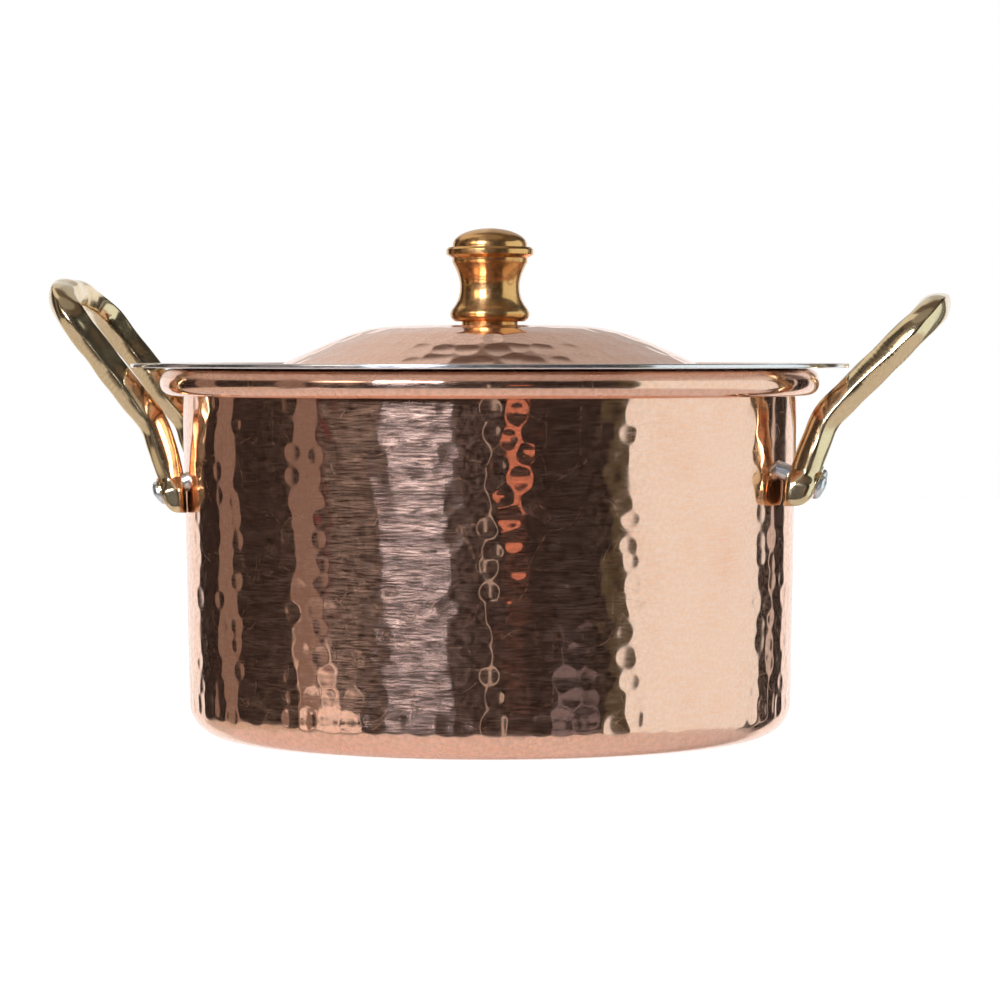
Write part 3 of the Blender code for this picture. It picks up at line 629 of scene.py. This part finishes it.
def screw_outline():
    """The screw's head below the lid and its shank up into the knob."""
    head_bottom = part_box("knob_screw")[0].z
    head_top = head_bottom + SCREW_HEAD_HEIGHT
    return rounded_path([
        (0.0, head_bottom, 0.0),
        (SCREW_HEAD_END * SCREW_HEAD_RADIUS, head_bottom, 0.4 * SCREW_HEAD_RADIUS),
        (SCREW_HEAD_RADIUS, head_top - SCREW_HEAD_HEIGHT / 2, SCREW_HEAD_RADIUS / 8),
        (SCREW_HEAD_RADIUS, head_top, SCREW_HEAD_RADIUS / 12),
        (SCREW_RADIUS, head_top, 0.0),
        (SCREW_RADIUS, KNOB_SEAT, 0.0),
        (0.0, KNOB_SEAT, 0.0),
    ])


def slot_cutter():
    """A bar that cuts the driver's slot across the screw's head."""
    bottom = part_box("knob_screw")[0].z
    ends = (-2 * SCREW_HEAD_RADIUS, 2 * SCREW_HEAD_RADIUS)
    sides = (-SCREW_SLOT_WIDTH / 2, SCREW_SLOT_WIDTH / 2)
    levels = (bottom - SCREW_SLOT_DEPTH, bottom + SCREW_SLOT_DEPTH)
    corners = [(x, y, z) for x in ends for y in sides for z in levels]
    faces = [(0, 1, 3, 2), (4, 6, 7, 5), (0, 4, 5, 1), (2, 3, 7, 6), (0, 2, 6, 4), (1, 5, 7, 3)]
    return make_piece("slot_cutter", corners, faces)


def washer_outline(radius, hole, bottom, top):
    """A flat ring with softly broken edges, as a loop."""
    broken = (top - bottom) / 4
    middle = (top + bottom) / 2
    path = rounded_path([
        (hole, middle, 0.0),
        (hole, bottom, broken),
        (radius, bottom, broken),
        (radius, top, broken),
        (hole, top, broken),
        (hole, middle, 0.0),
    ], steps=4)
    return path[:-1]


def build_lid():
    outline = cover_outline()
    arc = arc_lengths(outline)
    upper = slice(len(outline) // 2, len(outline))
    rings = round((DOME_ROWS_TO - DOME_ROWS_FROM) / DOME_ROW_PITCH)
    radii = np.linspace(DOME_ROWS_FROM, DOME_ROWS_TO, rings + 1)
    ring_arcs = np.interp(radii, outline[upper, 0][::-1], arc[upper][::-1])
    blows = (DOME_BLOW_PITCH, DOME_BLOW_CURVE, DOME_BLOW_DEPTH)
    carved = hammer(outline, WALL_COLUMNS, ring_arcs, *blows, DOME_SEED)
    cover = spun_piece("copper_lid_cover", outline, WALL_COLUMNS, carved)
    finish_piece(cover, LID_COPPER_LOOK, "lid_cover")
    lining = spun_piece("steel_lid_lining", lid_lining_outline(), ROUND_COLUMNS)
    finish_piece(lining, STEEL_LOOK, "lid_lining")
    knob = spun_piece("brass_knob", knob_outline(), KNOB_COLUMNS)
    finish_piece(knob, TURNED_BRASS_LOOK, "lid_knob")
    screw = spun_piece("lid_screw", screw_outline(), SMALL_COLUMNS)
    cut(screw, slot_cutter())
    mark_sharp(screw)
    finish_piece(screw, RIVET_LOOK, "knob_screw")
    low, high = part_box("knob_washer")
    ring = washer_outline(KNOB_WASHER_RADIUS, SCREW_RADIUS + FIT_GAP, low.z, high.z)
    washer = spun_piece("lid_screw_washer", ring, SMALL_COLUMNS)
    finish_piece(washer, RIVET_LOOK, "knob_washer")


# Handles

def side_sign(side):
    return 1.0 if side == "right" else -1.0


def smooth_step(value):
    value = min(max(value, 0.0), 1.0)
    return value * value * (3 - 2 * value)


def handle_side_profile(side):
    """Middle of the bar seen from the side, as (distance from the axis, height) points."""
    wall = math.sqrt(wall_radius(HANDLE_TOE_HEIGHT[side]) ** 2 - HANDLE_HALF_SPREAD**2)
    lean = math.radians(HANDLE_LEAN[side])
    upper = lean + math.radians(HANDLE_KNEE_BEND[side])
    toe = Vector((wall + HANDLE_FOOT_STANDOFF[side], HANDLE_TOE_HEIGHT[side]))
    knee = toe + Vector((math.sin(lean), math.cos(lean))) * HANDLE_LOWER_LENGTH
    crest = knee + Vector((math.sin(upper), math.cos(upper))) * HANDLE_UPPER_LENGTH[side]
    return rounded_path([(*toe, 0.0), (*knee, HANDLE_KNEE_FILLET), (*crest, 0.0)], steps=16)


def handle_places(side):
    """Half the bar's run as (distance from the toe, sideways place), toe to crest."""
    total = arc_lengths(handle_side_profile(side))[-1]
    arch_start = total - HANDLE_ARCH_HEIGHT
    toe = HANDLE_TOE_ROUNDING * (1 - np.cos(np.linspace(0.0, math.pi / 2, HANDLE_TOE_STEPS)))
    steps = math.ceil((arch_start - HANDLE_TOE_ROUNDING) / BAR_SPACING)
    straight = np.linspace(HANDLE_TOE_ROUNDING, arch_start, steps)
    places = [(distance, -HANDLE_HALF_SPREAD) for distance in (*toe, *straight[1:-1])]
    power = 2 / HANDLE_ARCH_FULLNESS
    for angle in np.linspace(0.0, math.pi / 2, HANDLE_ARCH_STEPS):
        rise = HANDLE_ARCH_HEIGHT * math.sin(angle) ** power
        across = HANDLE_HALF_SPREAD * max(math.cos(angle), 0.0) ** power
        places.append((arch_start + rise, -across))
    return places


def handle_stations(side):
    """Places on the bar as (middle, outward normal, distance from the nearer toe)."""
    profile = handle_side_profile(side)
    arc = arc_lengths(profile)
    pad_end = HANDLE_PAD_HEIGHT + HANDLE_PAD_FADE
    half = handle_places(side)
    mirrored = [(distance, -across) for distance, across in reversed(half[:-1])]
    stations = []
    for distance, across in half + mirrored:
        point = np.array([np.interp(distance, arc, profile[:, axis]) for axis in (0, 1)])
        further = [np.interp(distance - BAR_SPACING, arc, profile[:, axis]) for axis in (0, 1)]
        ahead = point - further if distance > BAR_SPACING else profile[1] - profile[0]
        lean = math.atan2(ahead[0], ahead[1]) * min(distance / pad_end, 1.0)
        normal = Vector((math.cos(lean), 0.0, -math.sin(lean)))
        stations.append((Vector((point[0], across, point[1])), normal, distance))
    return stations


def bar_section(side, distance):
    """Outer, inner and sideways half sizes of the bar, and its squareness."""
    swell = smooth_step(distance / HANDLE_LOWER_LENGTH)
    half = (HANDLE_FOOT_THICKNESS[side] * (1 - swell) + HANDLE_BAR_THICKNESS * swell) / 2
    bar = smooth_step((distance - HANDLE_PAD_HEIGHT) / HANDLE_PAD_FADE)
    drift = distance * math.sin(math.radians(HANDLE_LEAN[side]))
    pad_reach = HANDLE_FOOT_STANDOFF[side] - HANDLE_FOOT_FACE[side] + drift
    inner = pad_reach * (1 - bar) + half * bar
    sideways = (HANDLE_FOOT_WIDTH * (1 - bar) + HANDLE_BAR_WIDTH * bar) / 2
    squareness = HANDLE_FOOT_SQUARENESS * (1 - bar) + HANDLE_BAR_SQUARENESS * bar
    remaining = 1 - min(distance / HANDLE_TOE_ROUNDING, 1.0)
    fullness = math.sqrt(1 - remaining**2)
    outer = half * (HANDLE_TOE_THICKNESS + (1 - HANDLE_TOE_THICKNESS) * fullness)
    sideways *= HANDLE_TOE_WIDTH + (1 - HANDLE_TOE_WIDTH) * fullness
    return outer, inner, sideways, squareness


def bar_ring(side, middle, normal, tangent, distance):
    """One ring of points round the bar, uneven as a casting is."""
    outer, inner, sideways, squareness = bar_section(side, distance)
    across = tangent.cross(normal).normalized()
    free = smooth_step((distance - HANDLE_PAD_HEIGHT) / HANDLE_LOWER_LENGTH)
    twist = HANDLE_TWIST * noise.noise(middle * HANDLE_TWIST_SCALE) * free
    turn = Matrix.Rotation(twist, 3, tangent)
    ring = []
    for corner in range(BAR_SIDES):
        angle = math.tau * corner / BAR_SIDES
        out = math.cos(angle)
        along = math.sin(angle)
        depth = math.copysign(abs(out) ** (2 / squareness), out)
        spread = math.copysign(abs(along) ** (2 / squareness), along)
        depth *= outer if out > 0 else inner
        point = middle + turn @ (normal * depth + across * spread * sideways)
        ring.append(uneven(point, middle, rib_depth(side, distance)))
    return ring


def rib_depth(side, distance):
    """How deep the grinder cut at a distance from the toe."""
    inside = min(distance - RIBS_FROM, RIBS_TO - distance) / RIB_FADE
    wave = 0.5 + 0.5 * math.sin(math.tau * distance / RIB_PITCH)
    return RIB_DEPTH[side] * wave * smooth_step(inside)


def uneven(point, middle, rib):
    """Move a point of the casting in or out a little, by slow noise and by a rib."""
    grain = CASTING_GRAIN * noise.noise(point * CASTING_GRAIN_SCALE)
    dent = noise.noise(point * CASTING_SCALE) + grain
    broken = max(noise.noise(point * RIB_BREAKS_SCALE) + RIB_BREAKS_LEVEL, 0.0)
    inwards = (middle - point).normalized()
    return point + inwards * (CASTING_UNEVENNESS * dent + rib * broken)


def clear_of_wall(point):
    """Keep a point of the foot one clearance away from the pot's wall."""
    distance = math.hypot(point.x, point.y)
    wall = wall_radius(point.z) + FIT_GAP
    if distance < wall:
        point.x *= wall / distance
        point.y *= wall / distance
    return point


def rivet_axis(side, end):
    """Where a rivet crosses the middle of the bar, and its outward direction."""
    profile = handle_side_profile(side)
    arc = arc_lengths(profile)
    out, height = (np.interp(RIVET_ABOVE_TOE, arc, profile[:, axis]) for axis in (0, 1))
    tilt = math.radians(RIVET_TILT)
    sign = side_sign(side)
    across = -HANDLE_HALF_SPREAD if end == "front" else HANDLE_HALF_SPREAD
    outward = Vector((sign * math.cos(tilt), 0.0, -math.sin(tilt)))
    return Vector((sign * out, across, height)), outward


def turned_along(name, outline, middle, direction, columns=SMALL_COLUMNS):
    """A turned piece whose axis runs through middle along direction."""
    piece = spun_piece(name, np.asarray(outline), columns)
    turn = Vector((0, 0, 1)).rotation_difference(direction).to_matrix().to_4x4()
    piece.data.transform(Matrix.Translation(middle) @ turn)
    return piece


def rivet_seat(side):
    """Distance from the bar's middle to the flat seat cut for the washer."""
    return HANDLE_FOOT_THICKNESS[side] / 2 - RIVET_SEAT_DEPTH


def cut(piece, cutter):
    """Subtract the cutter from the piece for good, and remove the cutter."""
    modifier = piece.modifiers.new("cut", "BOOLEAN")
    modifier.solver = "EXACT"
    modifier.object = cutter
    bpy.context.view_layer.update()
    evaluated = piece.evaluated_get(bpy.context.evaluated_depsgraph_get())
    mesh = bpy.data.meshes.new_from_object(evaluated)
    piece.modifiers.clear()
    piece.data = mesh
    bpy.data.objects.remove(cutter, do_unlink=True)


def seat_cutter(side, end):
    """A plug that cuts the flat seat of a rivet's washer into the foot."""
    middle, outward = rivet_axis(side, end)
    seat = rivet_seat(side)
    far = seat + HANDLE_FOOT_THICKNESS[side]
    radius = RIVET_WASHER_RADIUS + FIT_GAP
    outline = [(0.0, seat), (radius, seat), (radius, far), (0.0, far)]
    return turned_along(f"seat_cutter_{side}_{end}", outline, middle, outward)


def held_in(point, box):
    """Keep a point inside a box."""
    return [min(max(value, low), high) for value, low, high in zip(point, *box)]


def build_handle(side):
    """Loft the bar from one toe over the arch to the other toe."""
    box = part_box(f"handle_{side}")
    stations = handle_stations(side)
    last = len(stations) - 1
    sign = side_sign(side)
    rings = []
    for index, (middle, normal, distance) in enumerate(stations):
        ahead = stations[min(index + 1, last)][0] - stations[max(index - 1, 0)][0]
        tangent = (ahead - normal * ahead.dot(normal)).normalized()
        ring = bar_ring(side, middle, normal, tangent, distance)
        ring = [clear_of_wall(point) for point in ring]
        rings.append([held_in((sign * point.x, point.y, point.z), box) for point in ring])
    faces = grid_faces(len(rings), BAR_SIDES, close_rows=False)
    first_end = list(range(BAR_SIDES))
    last_end = [last * BAR_SIDES + corner for corner in first_end]
    faces += [first_end[::-1], last_end]
    if sign < 0:
        faces = [face[::-1] for face in faces]
    handle = make_piece(f"brass_handle_{side}", rings, faces)
    for end in ("front", "back"):
        cut(handle, seat_cutter(side, end))
    mark_sharp(handle)
    finish_piece(handle, CAST_BRASS_LOOK, f"handle_{side}")


# Rivets

def inner_head_place(middle, outward):
    """Where the rivet's axis meets the lining, and the direction out from the pot's axis."""
    run = math.hypot(outward.x, outward.y)
    before = (middle.x * outward.x + middle.y * outward.y) / run**2
    spare = (middle.x**2 + middle.y**2 - (wall_radius(middle.z) - WALL_THICKNESS) ** 2) / run**2
    landing = middle - outward * (before - math.sqrt(before**2 - spare))
    return landing, Vector((landing.x, landing.y, 0.0)).normalized()


def dome_points(radius, height, base):
    """A low cap from its middle to its rim, as (radius, height) points."""
    ball = (radius**2 + height**2) / (2 * height)
    widest = math.asin(radius / ball)
    angles = np.linspace(0.0, widest, CAP_STEPS)
    return [(ball * math.sin(a), base + height - ball * (1 - math.cos(a))) for a in angles]


def build_rivet(side, end):
    """Outer head and shank, and the head closed inside the pot."""
    middle, outward = rivet_axis(side, end)
    base = rivet_seat(side) + 2 * FIT_GAP + RIVET_WASHER_THICKNESS
    landing, radial = inner_head_place(middle, outward)
    shank_end = -(middle - landing).length - RIVET_INNER_HEAD_HEIGHT / 4
    head = [(RIVET_HEAD_RADIUS, base)]
    for angle in np.linspace(0.0, math.pi / 2, CAP_STEPS):
        rise = (RIVET_HEAD_HEIGHT - RIVET_HEAD_RIM) * math.sin(angle)
        head.append((RIVET_HEAD_RADIUS * math.cos(angle), base + RIVET_HEAD_RIM + rise))
    head[-1] = (0.0, head[-1][1])
    outline = [(0.0, shank_end), (RIVET_RADIUS, shank_end), (RIVET_RADIUS, base)] + head
    rivet = turned_along(f"rivet_{side}_{end}_turned", outline, middle, outward)
    dent_head(rivet, middle, outward, base + RIVET_HEAD_RIM / 2)
    sunk = 2 * FIT_GAP
    rim = RIVET_INNER_HEAD_RADIUS
    cap = [(0.0, -sunk), (rim, -sunk)] + dome_points(rim, RIVET_INNER_HEAD_HEIGHT, 0.0)[::-1]
    inner = turned_along(f"inner_head_{side}_{end}", cap, landing, -radial)
    join(rivet, inner)
    finish_piece(rivet, RIVET_LOOK, f"rivet_{side}_{end}")


def dent_head(rivet, middle, outward, from_height):
    """Flatten the rivet's outer head here and there, as a hammer leaves it."""
    for corner in rivet.data.vertices:
        rise = (corner.co - middle).dot(outward) - from_height
        if rise > 0.0:
            dent = max(noise.noise(corner.co * RIVET_DENT_SCALE) + RIVET_DENT_LEVEL, 0.0)
            corner.co -= outward * dent * RIVET_HEAD_DENTS * min(rise / RIVET_HEAD_RIM, 1.0)


def join(piece, other):
    """Add the other piece's mesh to the piece."""
    with bpy.context.temp_override(active_object=piece, selected_editable_objects=[piece, other]):
        bpy.ops.object.join()


def build_rivet_washer(side, end):
    middle, outward = rivet_axis(side, end)
    bottom = rivet_seat(side) + FIT_GAP
    top = bottom + RIVET_WASHER_THICKNESS
    ring = washer_outline(RIVET_WASHER_RADIUS, RIVET_RADIUS + FIT_GAP, bottom, top)
    washer = turned_along(f"rivet_washer_{side}_{end}_turned", ring, middle, outward)
    finish_piece(washer, CAST_BRASS_LOOK, f"rivet_washer_{side}_{end}")


# Materials

def add_node(tree, kind, inputs=None, **settings):
    """A new node; an input is given by its name or number, as a value or a socket."""
    node = tree.nodes.new(kind)
    for name, value in settings.items():
        setattr(node, name, value)
    for name, value in (inputs or {}).items():
        if isinstance(value, bpy.types.NodeSocket):
            tree.links.new(value, node.inputs[name])
        else:
            node.inputs[name].default_value = value
    return node


def start_material(name):
    material = bpy.data.materials.new(name)
    material.use_nodes = True
    material.node_tree.nodes.clear()
    return material, material.node_tree


def calculated(tree, operation, *inputs):
    node = add_node(tree, "ShaderNodeMath", dict(enumerate(inputs)), operation=operation)
    return node.outputs[0]


def remapped(tree, value, low, high, to_low=0.0, to_high=1.0, **settings):
    inputs = {0: value, 1: low, 2: high, 3: to_low, 4: to_high}
    return add_node(tree, "ShaderNodeMapRange", inputs, **settings).outputs[0]


def mixed_colour(tree, share, first, second):
    inputs = {0: share, 6: first, 7: second}
    return add_node(tree, "ShaderNodeMix", inputs, data_type="RGBA").outputs[2]


def mixed_shader(tree, share, first, second):
    return add_node(tree, "ShaderNodeMixShader", {0: share, 1: first, 2: second}).outputs[0]


def object_noise(tree, scale, detail=2.0, stretch=(1.0, 1.0, 1.0), shift=0.0):
    """Noise in the part's own space; stretch below 1 draws it out along that axis."""
    place = add_node(tree, "ShaderNodeTexCoord").outputs["Object"]
    moved = {"Vector": place, "Location": (shift, 0.0, 0.0), "Scale": stretch}
    scaled = add_node(tree, "ShaderNodeMapping", moved).outputs[0]
    inputs = {"Vector": scaled, "Scale": scale, "Detail": detail}
    return add_node(tree, "ShaderNodeTexNoise", inputs).outputs["Fac"]


def hairlines(tree, scale, width, shift):
    """Thin broken curves over the surface, 1 on a line and 0 beside it."""
    field = object_noise(tree, scale, detail=0.0, shift=shift)
    beside = calculated(tree, "ABSOLUTE", calculated(tree, "SUBTRACT", field, 0.5))
    line = remapped(tree, beside, 0.0, width, 1.0, 0.0)
    breaks = object_noise(tree, HAIRLINE_BREAKS * scale, detail=0.0, shift=shift)
    kept = remapped(tree, breaks, *HAIRLINE_BREAKS_RANGE)
    return calculated(tree, "MULTIPLY", line, kept)


def metal_shader(tree, colour, roughness, more=None):
    inputs = {"Base Color": colour, "Metallic": 1.0, "Roughness": roughness, **(more or {})}
    return add_node(tree, "ShaderNodeBsdfPrincipled", inputs).outputs[0]


def spread(scratches):
    """Lowest and highest share of a kind of scratches."""
    share, _, _, unevenness = scratches
    return share * (1 - unevenness), share * (1 + unevenness)


def metal_look(name, colour, stain, roughness, polish, scuff, lines=0.0):
    """A polished metal under two kinds of fine scratches.

    polish and scuff are (share, roughness, tint, unevenness): lines left round the
    piece by polishing, which spread light up and down, and marks that lie in all
    directions. lines is how strongly single long scratches show.
    """
    material, tree = start_material(name)
    stains = remapped(tree, object_noise(tree, STAIN_SCALE, detail=5.0), *STAIN_RANGE)
    tint = mixed_colour(tree, stains, (*colour, 1.0), (*stain, 1.0))
    smudges = object_noise(tree, SMUDGE_SCALE, detail=4.0)
    gloss = remapped(tree, smudges, *SMUDGE_RANGE, *(roughness * share for share in SMUDGE_GLOSS))
    clean = metal_shader(tree, tint, gloss)
    tangent = add_node(tree, "ShaderNodeTangent", direction_type="RADIAL", axis="Z").outputs[0]
    polished = metal_shader(tree, (*polish[2], 1.0), polish[1], {
        "Anisotropic": 1.0,
        "Anisotropic Rotation": 0.25,
        "Tangent": tangent,
    })
    scuffed = metal_shader(tree, (*scuff[2], 1.0), scuff[1])
    streaks = object_noise(tree, STREAK_SCALE, detail=3.0, stretch=STREAK_STRETCH)
    brushed = remapped(tree, streaks, *STREAK_RANGE, *spread(polish))
    flecks = object_noise(tree, FLECK_SCALE, detail=6.0)
    marks = remapped(tree, flecks, *FLECK_RANGE, *spread(scuff))
    if lines:
        for hairline in HAIRLINES:
            scratch = calculated(tree, "MULTIPLY", hairlines(tree, *hairline), lines)
            marks = calculated(tree, "ADD", marks, scratch)
    surface = mixed_shader(tree, marks, mixed_shader(tree, brushed, clean, polished), scuffed)
    add_node(tree, "ShaderNodeOutputMaterial", {"Surface": surface})
    return material


def finish_piece(piece, material, node):
    """Give a piece its material, its CAD node's place and body."""
    piece.data.materials.clear()
    piece.data.materials.append(material)
    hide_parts(node)
    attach(piece, frame["nodes"][node]["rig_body"])


COPPER_LOOK = metal_look(
    "polished copper", (0.92, 0.54, 0.365), (0.88, 0.47, 0.30), 0.045,
    polish=(0.32, 0.18, (0.92, 0.61, 0.475), 0.9),
    scuff=(0.10, 0.36, (0.92, 0.49, 0.31), 0.9),
    lines=0.20,
)
LID_COPPER_LOOK = metal_look(
    "polished lid copper", (0.92, 0.56, 0.40), (0.88, 0.49, 0.33), 0.05,
    polish=(0.20, 0.19, (0.92, 0.61, 0.475), 0.7),
    scuff=(0.10, 0.36, (0.92, 0.49, 0.31), 0.9),
    lines=0.15,
)
STEEL_LOOK = metal_look(
    "bright steel", (0.88, 0.84, 0.80), (0.82, 0.78, 0.74), 0.09,
    polish=(0.40, 0.32, (0.86, 0.82, 0.79), 0.5),
    scuff=(0.10, 0.5, (0.80, 0.77, 0.75), 0.5),
)
CAST_BRASS_LOOK = metal_look(
    "cast brass", (0.82, 0.635, 0.37), (0.74, 0.55, 0.30), 0.13,
    polish=(0.0, 0.3, (0.7, 0.6, 0.4), 0.0),
    scuff=(0.20, 0.40, (0.82, 0.635, 0.37), 0.25),
)
TURNED_BRASS_LOOK = metal_look(
    "turned brass", (0.80, 0.42, 0.13), (0.66, 0.33, 0.10), 0.13,
    polish=(0.25, 0.30, (0.80, 0.46, 0.19), 0.3),
    scuff=(0.28, 0.42, (0.80, 0.46, 0.19), 0.4),
)
RIVET_LOOK = metal_look(
    "rivet metal", (0.84, 0.84, 0.82), (0.72, 0.72, 0.70), 0.28,
    polish=(0.0, 0.3, (0.7, 0.7, 0.7), 0.0),
    scuff=(0.3, 0.55, (0.80, 0.80, 0.78), 0.4),
)


# World, floor and camera

def window(tree, value, low, high, edge):
    """1 where the value lies between low and high, with soft edges."""
    soft = {"interpolation_type": "SMOOTHSTEP"}
    rising = remapped(tree, value, low - edge, low + edge, **soft)
    falling = remapped(tree, value, high - edge, high + edge, 1.0, 0.0, **soft)
    return calculated(tree, "MULTIPLY", rising, falling)


def build_world():
    world = bpy.data.worlds.new("studio")
    bpy.context.scene.world = world
    world.use_nodes = True
    tree = world.node_tree
    tree.nodes.clear()
    direction = add_node(tree, "ShaderNodeTexCoord").outputs["Generated"]
    turn = {"Vector": direction, "Angle": -CAMERA_TURN}
    turned = add_node(tree, "ShaderNodeVectorRotate", turn, rotation_type="Z_AXIS").outputs[0]
    parts = add_node(tree, "ShaderNodeSeparateXYZ", {0: turned}).outputs
    forward = calculated(tree, "MULTIPLY", parts["Y"], -1.0)
    angle = calculated(tree, "ARCTAN2", parts["X"], forward)
    azimuth = calculated(tree, "DEGREES", angle)
    elevation = calculated(tree, "DEGREES", calculated(tree, "ARCSINE", parts["Z"]))
    colour = (*STUDIO_DARK, 1.0)
    for az_low, az_high, el_low, el_high, edge, shine in PANELS:
        across = window(tree, azimuth, az_low, az_high, edge)
        up = window(tree, elevation, el_low, el_high, edge)
        share = calculated(tree, "MULTIPLY", across, up)
        colour = mixed_colour(tree, share, colour, (*shine, 1.0))
    seen = add_node(tree, "ShaderNodeLightPath").outputs["Is Camera Ray"]
    shown = mixed_colour(tree, seen, colour, WHITE)
    back = add_node(tree, "ShaderNodeBackground", {"Color": shown, "Strength": 1.0}).outputs[0]
    add_node(tree, "ShaderNodeOutputWorld", {"Surface": back})


def floor_look():
    """White to the camera with the pot's shadow; metal sees it pale near the pot."""
    material, tree = start_material("pale floor")
    path = add_node(tree, "ShaderNodeLightPath").outputs
    place = add_node(tree, "ShaderNodeTexCoord").outputs["Object"]
    length = add_node(tree, "ShaderNodeVectorMath", {0: place}, operation="LENGTH")
    distance = length.outputs["Value"]
    close = remapped(tree, distance, PALE_FLOOR_TO, PALE_FLOOR_GONE, 1.0, 0.0)
    facing = add_node(tree, "ShaderNodeLayerWeight", {"Blend": 0.5}).outputs["Facing"]
    steep = remapped(tree, facing, FLOOR_SEEN_FLAT, FLOOR_SEEN_STEEP, 1.0, 0.0)
    near = calculated(tree, "MULTIPLY", close, steep)
    camera_lift = calculated(tree, "MULTIPLY", path["Is Camera Ray"], FLOOR_CAMERA_LIFT)
    mirror_lift = calculated(tree, "MULTIPLY", path["Is Glossy Ray"], FLOOR_MIRROR_LIFT)
    strength = calculated(tree, "ADD", camera_lift, mirror_lift)
    warm = remapped(tree, distance, WARM_FLOOR_FROM, WARM_FLOOR_TO)
    tint = mixed_colour(tree, warm, WHITE, (*WARM_FLOOR, 1.0))
    shade = mixed_colour(tree, path["Is Camera Ray"], tint, WHITE)
    glow = add_node(tree, "ShaderNodeEmission", {"Color": shade, "Strength": strength})
    paint = add_node(tree, "ShaderNodeBsdfDiffuse", {"Color": FLOOR_PAINT})
    solid = add_node(tree, "ShaderNodeAddShader", {0: glow.outputs[0], 1: paint.outputs[0]})
    clear = add_node(tree, "ShaderNodeBsdfTransparent")
    far = calculated(tree, "SUBTRACT", 1.0, near)
    gone = calculated(tree, "MULTIPLY", far, path["Is Glossy Ray"])
    surface = mixed_shader(tree, gone, solid.outputs[0], clear.outputs[0])
    add_node(tree, "ShaderNodeOutputMaterial", {"Surface": surface})
    return material


def build_floor():
    half = FLOOR_SIZE / 2
    corners = [(-half, -half, 0.0), (half, -half, 0.0), (half, half, 0.0), (-half, half, 0.0)]
    floor = make_piece("floor", corners, [[0, 1, 2, 3]])
    floor.location.z = -FLOOR_DROP
    floor.data.materials.append(floor_look())


def around(azimuth, distance, height):
    """A point at an azimuth counted to the right from the camera."""
    turn = math.radians(azimuth) + CAMERA_TURN
    return (distance * math.sin(turn), -distance * math.cos(turn), height)


def card_look(number, colour):
    """A glow that fades out in patches towards the sides and the top of a card."""
    material, tree = start_material(f"card {number}")
    place = add_node(tree, "ShaderNodeTexCoord").outputs["UV"]
    parts = add_node(tree, "ShaderNodeSeparateXYZ", {0: place}).outputs
    other = calculated(tree, "SUBTRACT", 1.0, parts["X"])
    across = calculated(tree, "MULTIPLY", parts["X"], other)
    up = calculated(tree, "MULTIPLY", parts["Y"], parts["Y"])
    below = calculated(tree, "SUBTRACT", 1.0, up)
    inside = calculated(tree, "MULTIPLY", across, below)
    patches = object_noise(tree, CARD_PATCH_SCALE)
    shift = remapped(tree, patches, *CARD_PATCH_RANGE, -CARD_PATCH_SHIFT, CARD_PATCH_SHIFT)
    strength = remapped(tree, calculated(tree, "ADD", inside, shift), *CARD_EDGE)
    glow = add_node(tree, "ShaderNodeEmission", {"Color": (*colour, 1.0)}).outputs[0]
    clear = add_node(tree, "ShaderNodeBsdfTransparent").outputs[0]
    surface = mixed_shader(tree, strength, clear, glow)
    add_node(tree, "ShaderNodeOutputMaterial", {"Surface": surface})
    return material


def build_card(number, azimuth_from, azimuth_to, distance, bottom, top, colour):
    """An upright glowing card, which the camera and the floor don't see."""
    corners = [
        around(azimuth_from, distance, bottom),
        around(azimuth_to, distance, bottom),
        around(azimuth_to, distance, top),
        around(azimuth_from, distance, top),
    ]
    card = make_piece(f"card_{number}", corners, [[0, 1, 2, 3]])
    layout = card.data.uv_layers.new(name="card")
    for corner, place in zip(layout.data, ((0, 0), (1, 0), (1, 1), (0, 1))):
        corner.uv = place
    card.data.materials.append(card_look(number, colour))
    card.visible_camera = False
    card.visible_diffuse = False
    card.visible_shadow = False


def build_camera():
    camera = bpy.data.objects.new("camera", bpy.data.cameras.new("camera"))
    camera.data.lens = CAMERA_LENS
    camera.data.sensor_width = CAMERA_SENSOR
    camera.location = CAMERA_PLACE
    camera.rotation_euler = (math.pi / 2 - CAMERA_PITCH, 0.0, CAMERA_TURN)
    bpy.context.scene.collection.objects.link(camera)
    bpy.context.scene.camera = camera


build_pot()
build_lid()
for side in ("left", "right"):
    build_handle(side)
    for end in ("front", "back"):
        build_rivet(side, end)
        build_rivet_washer(side, end)
build_world()
build_floor()
for number, card in enumerate(CARDS, start=1):
    build_card(number, *card)
build_camera()
bpy.context.scene.view_settings.view_transform = "Standard"
